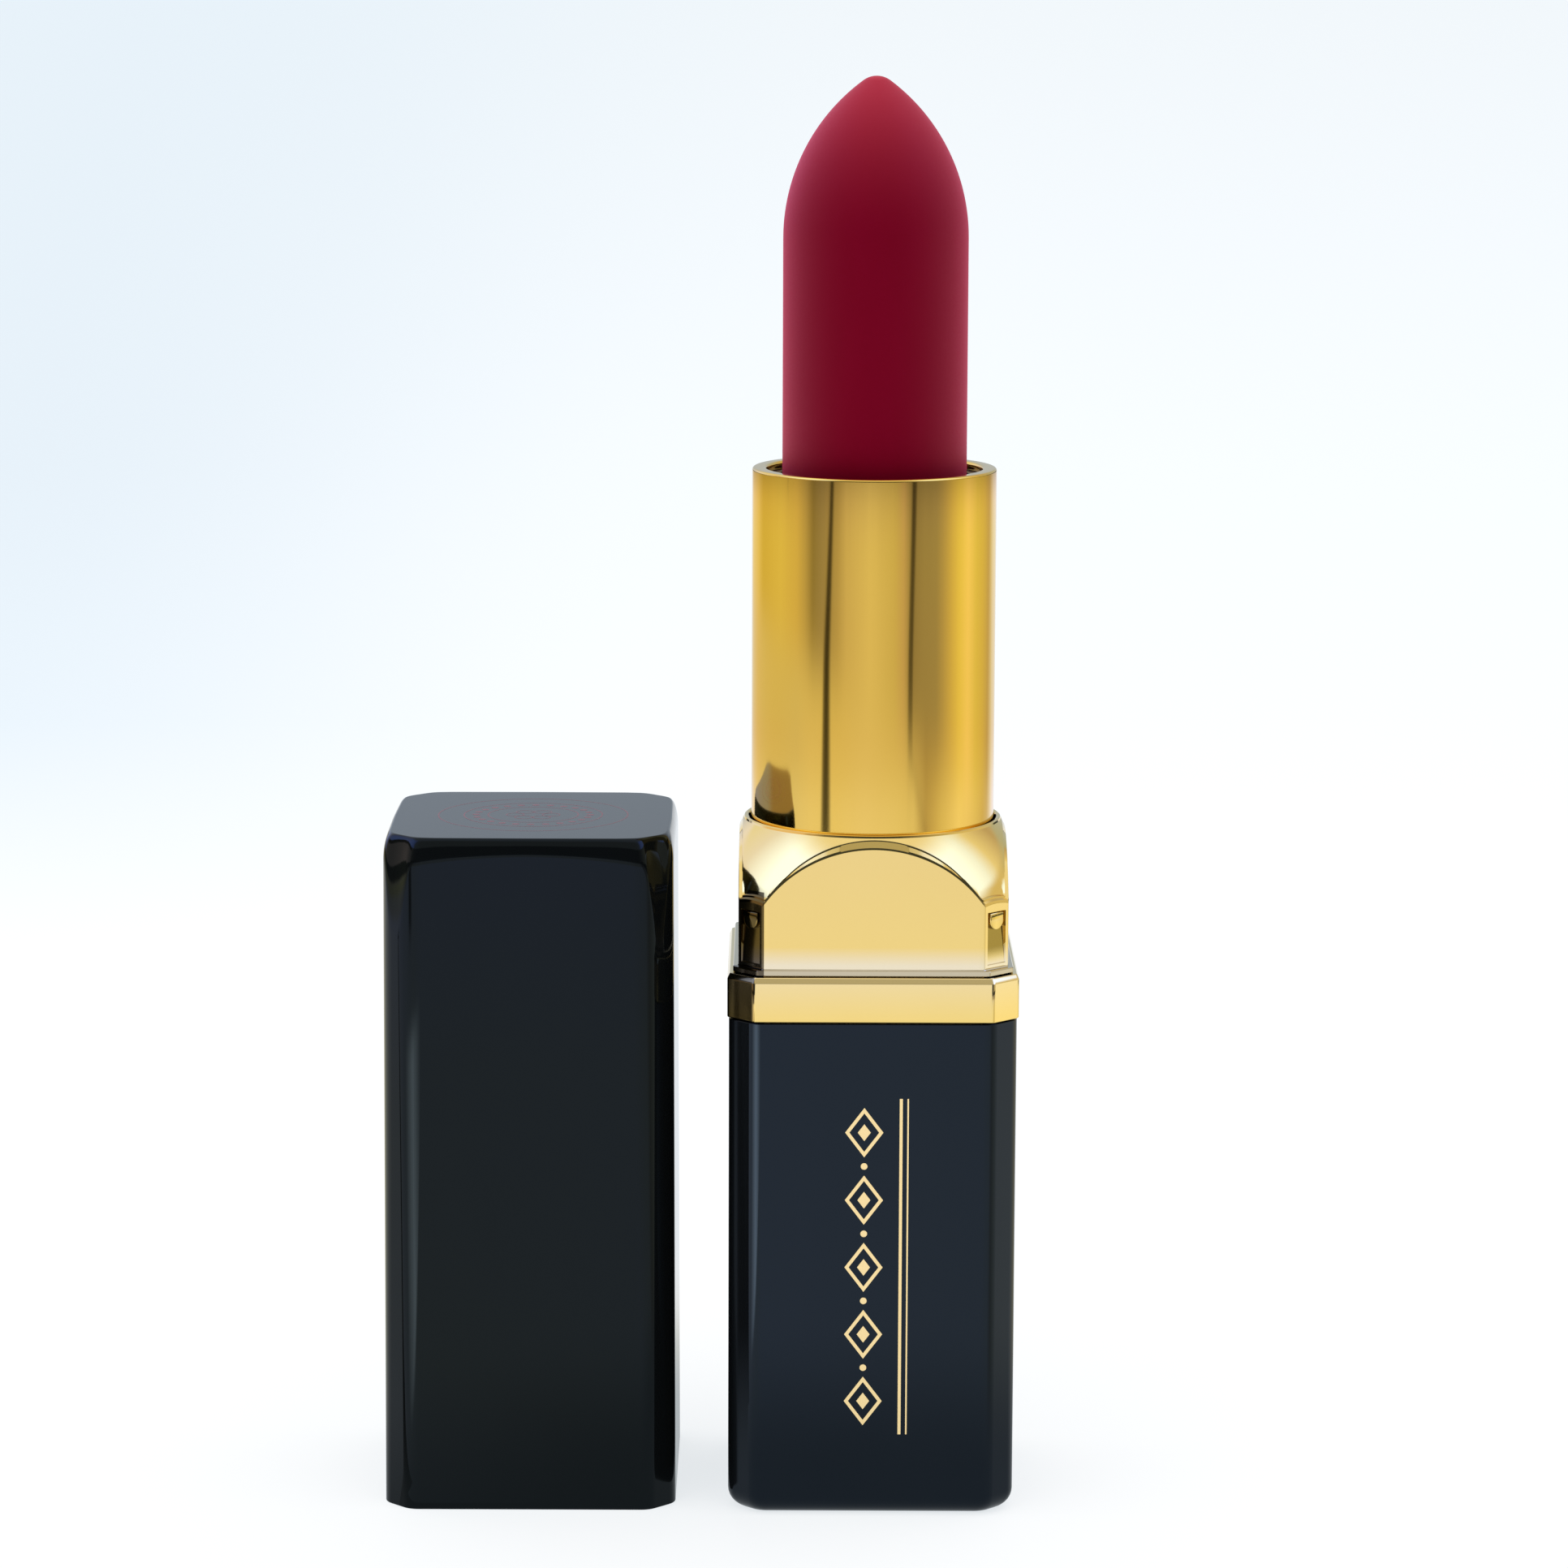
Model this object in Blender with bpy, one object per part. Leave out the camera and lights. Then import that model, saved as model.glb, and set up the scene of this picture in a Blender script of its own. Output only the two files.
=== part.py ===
"""A twist-up lipstick case with its square cap standing beside it.

Metres, +Z up. The twist axis is the world Z axis, the front faces -Y and the case stands on Z = 0.
"""

import math

import bmesh
import bpy

MM = 0.001

SEAM = 0.1 * MM
OVERCUT = 1.0 * MM
ROUND_STEPS = 48

BASE_HALF = 9.42 * MM
BASE_CHAMFER = 1.7 * MM
BASE_HEIGHT = 33.15 * MM
BASE_WALL = 0.75 * MM
BASE_FLOOR = 1.4 * MM
BASE_FOOT_ROUND = 1.4 * MM
BASE_FOOT_STEPS = 4

BAND_HALF = 9.52 * MM
BAND_BOTTOM = BASE_HEIGHT + SEAM
BAND_HEIGHT = 2.95 * MM
BAND_EDGE = 0.3 * MM

FLANGE_HALF = 9.15 * MM
FLANGE_BOTTOM = BAND_BOTTOM + BAND_HEIGHT + SEAM
FLANGE_HEIGHT = 0.3 * MM
FLANGE_TOP = FLANGE_BOTTOM + FLANGE_HEIGHT

COLLAR_HALF = 8.81 * MM
COLLAR_CHAMFER = 1.6 * MM
COLLAR_STEP = 0.23 * MM
LOWER_DOME_RADIUS = 11.89 * MM
LOWER_DOME_CENTRE = 36.75 * MM
UPPER_DOME_RADIUS = 11.67 * MM
UPPER_DOME_CENTRE = 37.3 * MM
DOME_STEPS = 10
COLLAR_TOP = 45.42 * MM
COLLAR_NECK_RADIUS = 8.62 * MM
COLLAR_BORE = 8.18 * MM
SKIRT_HALF = 8.55 * MM
SKIRT_BOTTOM = 29.0 * MM
SNAP_WIDTH = 1.1 * MM
SNAP_HEIGHT = 1.25 * MM
SNAP_PROUD = 0.18 * MM
SNAP_TOP = 40.35 * MM
SNAP_ROOT = 0.36 * MM
SNAP_FACE_SHARE = 0.72
SNAP_STEPS = 8

TUBE_RADIUS = 8.03 * MM
TUBE_WALL = 0.3 * MM
TUBE_TOP = 68.52 * MM
TUBE_BOTTOM = 33.0 * MM
TUBE_LIP_RADIUS = 7.1 * MM
TUBE_LIP_HEIGHT = 0.5 * MM
TUBE_EDGE = 0.15 * MM

SPIRAL_OUTER = TUBE_RADIUS - TUBE_WALL - SEAM
SPIRAL_INNER = 7.12 * MM
SPIRAL_BOTTOM = 32.6 * MM
SPIRAL_TOP = TUBE_TOP - TUBE_LIP_HEIGHT - SEAM

GUIDE_OUTER = 7.0 * MM
GUIDE_INNER = 6.58 * MM
GUIDE_BOTTOM = 22.0 * MM
GUIDE_PLUG = 0.8 * MM
GUIDE_TOP = SPIRAL_TOP
GUIDE_FLANGE_RADIUS = 7.9 * MM
GUIDE_FLANGE_BOTTOM = 31.4 * MM
GUIDE_FLANGE_TOP = 32.4 * MM
SLOT_WIDTH = 1.7 * MM

TRAVEL = 26.0 * MM
LEAD = 13.0 * MM
GROOVE_COUNT = 2
GROOVE_WIDTH = 1.5 * MM
GROOVE_DEPTH = 0.3 * MM
GROOVE_SPARE = 0.6 * MM
GROOVE_OVERCUT = 0.4 * MM
GROOVE_STEPS = 76

CUP_OUTER = 6.48 * MM
CUP_WALL = 0.34 * MM
CUP_TOP = 66.9 * MM
CUP_HEIGHT = 8.6 * MM
CUP_FLOOR = 0.8 * MM
LUG_LEVEL = 60.4 * MM
LUG_WIDTH = 1.2 * MM
LUG_REACH = 7.32 * MM

BULLET_RADIUS = 6.05 * MM
BULLET_TIP = 94.0 * MM
BULLET_POINT_ABOVE = 0.3 * MM
BULLET_OGIVE = 10.8 * MM
OGIVE_STEPS = 14
TIP_STEPS = 5
TIP_LAST_ANGLE = math.radians(88.0)

RING_INNER = 7.16 * MM
RING_OUTER = 7.9 * MM
RING_BOTTOM = 30.1 * MM
RING_HEIGHT = 1.2 * MM
RING_EDGE = 0.3 * MM

CORE_TOP = 28.8 * MM
CORE_BOTTOM = 9.6 * MM
CORE_BORE = 7.1 * MM
WEIGHT_RADIUS = 8.2 * MM
WEIGHT_BOTTOM = 1.5 * MM
WEIGHT_TOP = 9.4 * MM
WEIGHT_EDGE = 0.4 * MM

LABEL_RADIUS = 6.5 * MM
LABEL_THICKNESS = 0.15 * MM
LABEL_RECESS = 0.25 * MM

CAP_X = -22.56 * MM
CAP_Y = 1.36 * MM
CAP_HEIGHT = 45.05 * MM
CAP_HALF_TOP = 9.5 * MM
CAP_HALF_MOUTH = 9.64 * MM
CAP_CHAMFER = 1.7 * MM
CAP_WALL = 0.62 * MM
CAP_ROOF = 1.0 * MM
CAP_TOP_ROUND = 1.1 * MM
CAP_TOP_STEPS = 3
LINER_OUTER_HALF = 8.8 * MM
LINER_BOTTOM = 9.6 * MM
LINER_WALL = 0.45 * MM
LINER_ROOF = 0.5 * MM

SQRT2 = math.sqrt(2.0)
FULL_TURN = 2.0 * math.pi
QUARTER_TURN = math.radians(90.0)


def clear_scene():
    for thing in list(bpy.data.objects):
        bpy.data.objects.remove(thing, do_unlink=True)


def make_material(name, colour, roughness, metallic, coat=0.0):
    material = bpy.data.materials.new(name)
    material.use_nodes = True
    shader = material.node_tree.nodes["Principled BSDF"]
    shader.inputs["Base Color"].default_value = (*colour, 1.0)
    shader.inputs["Roughness"].default_value = roughness
    shader.inputs["Metallic"].default_value = metallic
    shader.inputs["Coat Weight"].default_value = coat
    return material


def add_object(name, mesh_builder, material=None):
    mesh = bpy.data.meshes.new(name)
    bmesh.ops.recalc_face_normals(mesh_builder, faces=mesh_builder.faces)
    mesh_builder.to_mesh(mesh)
    mesh_builder.free()
    thing = bpy.data.objects.new(name, mesh)
    bpy.context.scene.collection.objects.link(thing)
    if material:
        mesh.materials.append(material)
    return thing


def smooth(thing, angle_deg=35.0):
    thing.data.shade_smooth()
    thing.data.set_sharp_from_angle(angle=math.radians(angle_deg))


def octagon(half, chamfer, z, centre=(0.0, 0.0)):
    """The eight corners of a square with cut corners, counter-clockwise from above."""
    flat = half - chamfer
    corners = [(half, -flat), (half, flat), (flat, half), (-flat, half)]
    corners += [(-x, -y) for x, y in corners]
    return [(centre[0] + x, centre[1] + y, z) for x, y in corners]


def wall_chamfer(chamfer, wall):
    """The chamfer of an inner octagon that keeps one wall thickness all round."""
    return chamfer - (2.0 - SQRT2) * wall


def circle(radius, z, steps=ROUND_STEPS, centre=(0.0, 0.0)):
    turns = [FULL_TURN * i / steps for i in range(steps)]
    return [(centre[0] + radius * math.cos(a), centre[1] + radius * math.sin(a), z) for a in turns]


def bridge(builder, first, second):
    count = len(first)
    for i in range(count):
        j = (i + 1) % count
        builder.faces.new((first[i], first[j], second[j], second[i]))


def stacked_solid(loops):
    """A solid skinned over a stack of loops, with both ends capped."""
    builder = bmesh.new()
    rings = [[builder.verts.new(point) for point in loop] for loop in loops]
    for lower, upper in zip(rings, rings[1:]):
        bridge(builder, lower, upper)
    builder.faces.new(list(reversed(rings[0])))
    builder.faces.new(rings[-1])
    return builder


def ring_solid(loops):
    """A closed tube skinned over loops that run up the outside and back down the inside."""
    builder = bmesh.new()
    rings = [[builder.verts.new(point) for point in loop] for loop in loops]
    for lower, upper in zip(rings, rings[1:] + rings[:1]):
        bridge(builder, lower, upper)
    return builder


def turned_ring(profile, steps=ROUND_STEPS):
    """A ring turned from a closed outline of (radius, height) points."""
    return ring_solid([circle(radius, z, steps) for radius, z in profile])


def turned_solid(profile, steps=ROUND_STEPS):
    """A solid turned from an open outline of (radius, height) points, capped at both ends."""
    return stacked_solid([circle(radius, z, steps) for radius, z in profile])


def box_solid(low, high):
    builder = bmesh.new()
    bmesh.ops.create_cube(builder, size=1.0)
    for vertex in builder.verts:
        for axis in range(3):
            middle = (low[axis] + high[axis]) / 2.0
            vertex.co[axis] = middle + vertex.co[axis] * (high[axis] - low[axis])
    return builder


def join_builders(builders):
    """One builder that holds every given builder's faces, each still its own body."""
    joined = bmesh.new()
    for builder in builders:
        lookup = {vertex: joined.verts.new(vertex.co) for vertex in builder.verts}
        for face in builder.faces:
            joined.faces.new([lookup[vertex] for vertex in face.verts])
        builder.free()
    return joined


def arc(radius, centre_z, inner, outer, steps):
    """Points of a sphere's outline from one radius to another, as (radius, height)."""
    start = math.asin(outer / radius)
    end = math.asin(inner / radius)
    angles = [start + (end - start) * i / steps for i in range(steps + 1)]
    return [(radius * math.sin(a), centre_z + radius * math.cos(a)) for a in angles]


def hide_tool(tool):
    tool.hide_render = True
    tool.hide_viewport = False
    tool.display_type = "WIRE"


def boolean(target, tool, operation):
    modifier = target.modifiers.new(tool.name, "BOOLEAN")
    modifier.object = tool
    modifier.operation = operation
    modifier.solver = "EXACT"
    hide_tool(tool)


def axis_empty(name, location):
    """An empty on a moving body's axis, which carries that body's pieces."""
    holder = bpy.data.objects.new(name, None)
    holder.location = location
    bpy.context.scene.collection.objects.link(holder)
    return holder


def carry(holder, things):
    """Hangs pieces on an empty without moving them."""
    bpy.context.view_layer.update()
    for thing in things:
        thing.parent = holder
        thing.matrix_parent_inverse = holder.matrix_world.inverted()


def rounded_foot(half, chamfer, radius, steps):
    """Octagons that round the lower edge of a prism, from its underside up."""
    loops = []
    for i in range(steps + 1):
        angle = QUARTER_TURN * i / steps
        inset = radius * (1.0 - math.sin(angle))
        height = radius * (1.0 - math.cos(angle))
        loops.append(octagon(half - inset, wall_chamfer(chamfer, inset), height))
    return loops


def make_base_shell():
    lacquer = make_material("black_lacquer", (0.012, 0.014, 0.018), 0.12, 0.0, 0.6)
    inner = BASE_HALF - BASE_WALL
    inner_chamfer = wall_chamfer(BASE_CHAMFER, BASE_WALL)
    loops = rounded_foot(BASE_HALF, BASE_CHAMFER, BASE_FOOT_ROUND, BASE_FOOT_STEPS)
    loops += [
        octagon(BASE_HALF, BASE_CHAMFER, BASE_HEIGHT),
        octagon(inner, inner_chamfer, BASE_HEIGHT),
        octagon(inner, inner_chamfer, BASE_FLOOR),
    ]
    shell = add_object("base_shell", stacked_solid(loops), lacquer)
    recess = add_object("label_recess_cutter", turned_solid([
        (LABEL_RADIUS + SEAM, -OVERCUT),
        (LABEL_RADIUS + SEAM, LABEL_RECESS),
    ]))
    boolean(shell, recess, "DIFFERENCE")
    return shell


def make_shade_label():
    paper = make_material("label_paper", (0.75, 0.74, 0.70), 0.6, 0.0)
    return add_object("shade_label", turned_solid([
        (LABEL_RADIUS, 0.0),
        (LABEL_RADIUS, LABEL_THICKNESS),
    ]), paper)


def make_base_weight():
    zinc = make_material("zinc", (0.45, 0.46, 0.48), 0.45, 1.0)
    weight = add_object("base_weight", turned_solid([
        (WEIGHT_RADIUS - WEIGHT_EDGE, WEIGHT_BOTTOM),
        (WEIGHT_RADIUS, WEIGHT_BOTTOM + WEIGHT_EDGE),
        (WEIGHT_RADIUS, WEIGHT_TOP - WEIGHT_EDGE),
        (WEIGHT_RADIUS - WEIGHT_EDGE, WEIGHT_TOP),
    ]), zinc)
    smooth(weight)
    return weight


def make_base_core():
    plastic = make_material("black_plastic", (0.03, 0.03, 0.032), 0.45, 0.0)
    half = BASE_HALF - BASE_WALL - SEAM
    chamfer = wall_chamfer(BASE_CHAMFER, BASE_WALL + SEAM)
    core = add_object("base_core", stacked_solid([
        octagon(half, chamfer, CORE_BOTTOM),
        octagon(half, chamfer, CORE_TOP),
    ]), plastic)
    bore = add_object("core_bore_cutter", turned_solid([
        (CORE_BORE, GUIDE_BOTTOM - SEAM),
        (CORE_BORE, CORE_TOP + OVERCUT),
    ]))
    boolean(core, bore, "DIFFERENCE")
    return core


def make_trim_band():
    gold = make_material("band_gold", (0.86, 0.62, 0.24), 0.16, 1.0)
    top = BAND_BOTTOM + BAND_HEIGHT
    inner = SKIRT_HALF + SEAM
    inner_chamfer = wall_chamfer(BASE_CHAMFER, BAND_HALF - inner)
    edge_chamfer = wall_chamfer(BASE_CHAMFER, BAND_EDGE)
    return add_object("trim_band", ring_solid([
        octagon(BAND_HALF, BASE_CHAMFER, BAND_BOTTOM),
        octagon(BAND_HALF, BASE_CHAMFER, top - BAND_EDGE),
        octagon(BAND_HALF - BAND_EDGE, edge_chamfer, top),
        octagon(inner, inner_chamfer, top),
        octagon(inner, inner_chamfer, BAND_BOTTOM),
    ]), gold)


def domed_prism(name, half, radius, centre_z, bottom):
    """An octagonal prism whose top is cut by a sphere on the twist axis."""
    reach = SQRT2 * half - COLLAR_CHAMFER / SQRT2 + COLLAR_STEP
    outline = [(reach, bottom - OVERCUT)]
    outline += arc(radius, centre_z, COLLAR_BORE - OVERCUT, reach, DOME_STEPS)
    prism = add_object(name, stacked_solid([
        octagon(half, COLLAR_CHAMFER, bottom),
        octagon(half, COLLAR_CHAMFER, COLLAR_TOP - SEAM),
    ]))
    dome = add_object(name + "_dome", turned_solid(outline))
    boolean(prism, dome, "INTERSECT")
    return prism


def snap_nub(corner):
    """A half-round snap nub on one corner chamfer, flat on top and round below."""
    face = SQRT2 * COLLAR_HALF - COLLAR_CHAMFER / SQRT2
    turn = QUARTER_TURN * (corner + 0.5)
    outward = (math.cos(turn), math.sin(turn))
    along = (-outward[1], outward[0])
    half_width = SNAP_WIDTH / 2.0
    drop = SNAP_HEIGHT - half_width
    outline = [(half_width, 0.0), (-half_width, 0.0)]
    for i in range(SNAP_STEPS + 1):
        angle = math.pi * (1.0 + i / SNAP_STEPS)
        outline.append((half_width * math.cos(angle), -drop + half_width * math.sin(angle)))
    loops = []
    for depth, shrink in ((-SNAP_ROOT, 1.0), (0.0, 1.0), (SNAP_PROUD, SNAP_FACE_SHARE)):
        out = face + depth
        loops.append([
            (out * outward[0] + s * shrink * along[0],
             out * outward[1] + s * shrink * along[1],
             SNAP_TOP + t * shrink)
            for s, t in outline
        ])
    return stacked_solid(loops)


def make_collar():
    gold = make_material("collar_gold", (0.86, 0.62, 0.24), 0.14, 1.0)
    inner_half = COLLAR_HALF - COLLAR_STEP
    root = FLANGE_TOP - SEAM
    lower = domed_prism("collar", COLLAR_HALF, LOWER_DOME_RADIUS, LOWER_DOME_CENTRE, root)
    lower.data.materials.append(gold)
    upper = domed_prism("collar_upper", inner_half, UPPER_DOME_RADIUS, UPPER_DOME_CENTRE, root + COLLAR_STEP)
    neck = add_object("collar_neck", turned_solid([
        (COLLAR_NECK_RADIUS, FLANGE_TOP + COLLAR_STEP),
        (COLLAR_NECK_RADIUS, COLLAR_TOP),
    ]))
    skirt_chamfer = wall_chamfer(BASE_CHAMFER, BAND_HALF - SKIRT_HALF)
    flange = add_object("collar_flange", stacked_solid([
        octagon(SKIRT_HALF, skirt_chamfer, SKIRT_BOTTOM),
        octagon(SKIRT_HALF, skirt_chamfer, FLANGE_BOTTOM),
        octagon(FLANGE_HALF, COLLAR_CHAMFER, FLANGE_BOTTOM),
        octagon(FLANGE_HALF, COLLAR_CHAMFER, FLANGE_TOP),
    ]))
    nubs = add_object("collar_snaps", join_builders([snap_nub(corner) for corner in range(4)]))
    bore = add_object("collar_bore_cutter", turned_solid([
        (COLLAR_BORE, SKIRT_BOTTOM - OVERCUT),
        (COLLAR_BORE, COLLAR_TOP + OVERCUT),
    ]))
    boolean(lower, upper, "UNION")
    boolean(lower, neck, "UNION")
    boolean(lower, flange, "UNION")
    boolean(lower, nubs, "UNION")
    boolean(lower, bore, "DIFFERENCE")
    return lower


def make_friction_ring():
    rubber = make_material("friction_rubber", (0.16, 0.16, 0.17), 0.7, 0.0)
    top = RING_BOTTOM + RING_HEIGHT
    ring = add_object("friction_ring", turned_ring([
        (RING_OUTER, RING_BOTTOM + RING_EDGE),
        (RING_OUTER, top - RING_EDGE),
        (RING_OUTER - RING_EDGE, top),
        (RING_INNER, top),
        (RING_INNER, RING_BOTTOM),
        (RING_OUTER - RING_EDGE, RING_BOTTOM),
    ]), rubber)
    smooth(ring)
    return ring


def make_guide_tube():
    """The fixed inner tube, with its closed plug foot, its flange and two upright slots."""
    plastic = make_material("guide_plastic", (0.08, 0.08, 0.085), 0.4, 0.0)
    tube = add_object("guide_tube", stacked_solid([
        circle(GUIDE_OUTER, GUIDE_BOTTOM),
        circle(GUIDE_OUTER, GUIDE_FLANGE_BOTTOM),
        circle(GUIDE_FLANGE_RADIUS, GUIDE_FLANGE_BOTTOM),
        circle(GUIDE_FLANGE_RADIUS, GUIDE_FLANGE_TOP),
        circle(GUIDE_OUTER, GUIDE_FLANGE_TOP),
        circle(GUIDE_OUTER, GUIDE_TOP),
        circle(GUIDE_INNER, GUIDE_TOP),
        circle(GUIDE_INNER, GUIDE_BOTTOM + GUIDE_PLUG),
    ]), plastic)
    half = SLOT_WIDTH / 2.0
    reach = GUIDE_FLANGE_RADIUS + OVERCUT
    low = LUG_LEVEL - TRAVEL - LUG_WIDTH
    high = LUG_LEVEL + LUG_WIDTH
    slot = add_object("guide_slot_cutter", box_solid((-reach, -half, low), (reach, half, high)))
    boolean(tube, slot, "DIFFERENCE")
    smooth(tube)
    return tube


def groove_cutter(index):
    """A ribbon wound round the axis, which cuts one helical groove into the sleeve's bore."""
    inner = SPIRAL_INNER - GROOVE_OVERCUT
    outer = SPIRAL_INNER + GROOVE_DEPTH
    last = FULL_TURN * GROOVE_SPARE / LEAD
    first = -FULL_TURN * TRAVEL / LEAD - last
    half = GROOVE_WIDTH / 2.0
    builder = bmesh.new()
    rings = []
    for i in range(GROOVE_STEPS + 1):
        turned = first + (last - first) * i / GROOVE_STEPS
        angle = FULL_TURN * index / GROOVE_COUNT + turned
        z = LUG_LEVEL + LEAD * turned / FULL_TURN
        corners = ((inner, -half), (outer, -half), (outer, half), (inner, half))
        rings.append([
            builder.verts.new((r * math.cos(angle), r * math.sin(angle), z + rise))
            for r, rise in corners
        ])
    for lower, upper in zip(rings, rings[1:]):
        bridge(builder, lower, upper)
    builder.faces.new(list(reversed(rings[0])))
    builder.faces.new(rings[-1])
    return builder


def make_spiral_sleeve():
    """The turning sleeve: two helical grooves run round its bore."""
    plastic = make_material("spiral_plastic", (0.7, 0.68, 0.62), 0.45, 0.0)
    sleeve = add_object("spiral_sleeve", turned_ring([
        (SPIRAL_OUTER, SPIRAL_BOTTOM),
        (SPIRAL_OUTER, SPIRAL_TOP),
        (SPIRAL_INNER, SPIRAL_TOP),
        (SPIRAL_INNER, SPIRAL_BOTTOM),
    ]), plastic)
    grooves = join_builders([groove_cutter(index) for index in range(GROOVE_COUNT)])
    cutter = add_object("groove_cutter", grooves)
    boolean(sleeve, cutter, "DIFFERENCE")
    smooth(sleeve)
    return sleeve


def make_tube_shell():
    """The polished outer tube, with a rolled lip that hides the sleeve's top."""
    gold = make_material("tube_gold", (0.86, 0.62, 0.24), 0.1, 1.0)
    inner = TUBE_RADIUS - TUBE_WALL
    tube = add_object("tube_shell", turned_ring([
        (TUBE_RADIUS, TUBE_BOTTOM),
        (TUBE_RADIUS, TUBE_TOP - TUBE_EDGE),
        (TUBE_RADIUS - TUBE_EDGE, TUBE_TOP),
        (TUBE_LIP_RADIUS + TUBE_EDGE, TUBE_TOP),
        (TUBE_LIP_RADIUS, TUBE_TOP - TUBE_EDGE),
        (TUBE_LIP_RADIUS, TUBE_TOP - TUBE_LIP_HEIGHT),
        (inner, TUBE_TOP - TUBE_LIP_HEIGHT),
        (inner, TUBE_BOTTOM),
    ]), gold)
    smooth(tube)
    return tube


def make_bullet_cup():
    """The cup that grips the wax, with two lugs for the grooves."""
    plastic = make_material("cup_plastic", (0.7, 0.68, 0.62), 0.4, 0.0)
    bore = CUP_OUTER - CUP_WALL
    bottom = CUP_TOP - CUP_HEIGHT
    cup = add_object("bullet_cup", stacked_solid([
        circle(CUP_OUTER, bottom),
        circle(CUP_OUTER, CUP_TOP),
        circle(bore, CUP_TOP),
        circle(bore, bottom + CUP_FLOOR),
    ]), plastic)
    lugs = []
    half = LUG_WIDTH / 2.0
    root = (CUP_OUTER + bore) / 2.0
    for side in (-1.0, 1.0):
        ends = sorted((side * root, side * LUG_REACH))
        lugs.append(box_solid((ends[0], -half, LUG_LEVEL - half), (ends[1], half, LUG_LEVEL + half)))
    boolean(cup, add_object("cup_lugs", join_builders(lugs)), "UNION")
    return cup


def nose_outline():
    """The bullet's nose, from its shoulder up: an ogive and a small ball that meet without a kink."""
    swing = (BULLET_RADIUS ** 2 + BULLET_OGIVE ** 2) / (2.0 * BULLET_RADIUS)
    height = BULLET_OGIVE - BULLET_POINT_ABOVE
    shoulder = BULLET_TIP - height
    ball = (swing ** 2 - (swing - BULLET_RADIUS) ** 2 - height ** 2) / (2.0 * (swing - height))
    ball_centre = BULLET_TIP - ball
    touch = math.asin((ball_centre - shoulder) / (swing - ball))
    outline = []
    for i in range(OGIVE_STEPS + 1):
        angle = touch * i / OGIVE_STEPS
        outline.append((BULLET_RADIUS - swing + swing * math.cos(angle), shoulder + swing * math.sin(angle)))
    for i in range(1, TIP_STEPS + 1):
        angle = touch + (TIP_LAST_ANGLE - touch) * i / TIP_STEPS
        outline.append((ball * math.cos(angle), ball_centre + ball * math.sin(angle)))
    return outline


def make_bullet():
    """The wax stick: a cylinder under a pointed nose with a small round tip."""
    wax = make_material("crimson_wax", (0.32, 0.003, 0.022), 0.5, 0.0)
    seat = CUP_TOP - CUP_HEIGHT + CUP_FLOOR + SEAM
    bullet = add_object("bullet", turned_solid([(BULLET_RADIUS, seat)] + nose_outline()), wax)
    smooth(bullet)
    return bullet


def make_cap_shell():
    lacquer = make_material("cap_lacquer", (0.012, 0.014, 0.018), 0.1, 0.0, 0.6)
    centre = (CAP_X, CAP_Y)
    wall_top = CAP_HEIGHT - CAP_TOP_ROUND
    loops = [octagon(CAP_HALF_MOUTH, CAP_CHAMFER, 0.0, centre)]
    for i in range(CAP_TOP_STEPS + 1):
        angle = QUARTER_TURN * i / CAP_TOP_STEPS
        inset = CAP_TOP_ROUND * (1.0 - math.cos(angle))
        height = wall_top + CAP_TOP_ROUND * math.sin(angle)
        loops.append(octagon(CAP_HALF_TOP - inset, wall_chamfer(CAP_CHAMFER, inset), height, centre))
    inner_chamfer = wall_chamfer(CAP_CHAMFER, CAP_WALL)
    cavity = [
        octagon(CAP_HALF_TOP - CAP_WALL, inner_chamfer, CAP_HEIGHT - CAP_ROOF, centre),
        octagon(CAP_HALF_MOUTH - CAP_WALL, inner_chamfer, 0.0, centre),
    ]
    builder = bmesh.new()
    outer = [[builder.verts.new(point) for point in loop] for loop in loops]
    inner = [[builder.verts.new(point) for point in loop] for loop in cavity]
    for lower, upper in zip(outer, outer[1:]):
        bridge(builder, lower, upper)
    builder.faces.new(outer[-1])
    bridge(builder, inner[0], inner[1])
    builder.faces.new(inner[0])
    bridge(builder, inner[1], outer[0])
    return add_object("cap_shell", builder, lacquer)


def make_cap_liner():
    plastic = make_material("liner_plastic", (0.04, 0.04, 0.042), 0.5, 0.0)
    centre = (CAP_X, CAP_Y)
    top = CAP_HEIGHT - CAP_ROOF - SEAM
    outer_chamfer = wall_chamfer(CAP_CHAMFER, CAP_HALF_TOP - LINER_OUTER_HALF)
    inner_half = LINER_OUTER_HALF - LINER_WALL
    inner_chamfer = wall_chamfer(outer_chamfer, LINER_WALL)
    builder = bmesh.new()
    loops = [
        octagon(inner_half, inner_chamfer, top - LINER_ROOF, centre),
        octagon(inner_half, inner_chamfer, LINER_BOTTOM, centre),
        octagon(LINER_OUTER_HALF, outer_chamfer, LINER_BOTTOM, centre),
        octagon(LINER_OUTER_HALF, outer_chamfer, top, centre),
    ]
    rings = [[builder.verts.new(point) for point in loop] for loop in loops]
    for lower, upper in zip(rings, rings[1:]):
        bridge(builder, lower, upper)
    builder.faces.new(rings[0])
    builder.faces.new(rings[-1])
    return add_object("cap_liner", builder, plastic)


def build():
    clear_scene()
    make_base_shell()
    make_shade_label()
    make_base_weight()
    make_base_core()
    make_trim_band()
    make_collar()
    make_friction_ring()
    make_guide_tube()
    twist_axis = axis_empty("twist_axis", (0.0, 0.0, 0.0))
    carry(twist_axis, [make_tube_shell(), make_spiral_sleeve()])
    carrier_axis = axis_empty("carrier_axis", (0.0, 0.0, 0.0))
    carry(carrier_axis, [make_bullet_cup(), make_bullet()])
    cap_axis = axis_empty("cap_axis", (CAP_X, CAP_Y, 0.0))
    carry(cap_axis, [make_cap_shell(), make_cap_liner()])


build()
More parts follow.
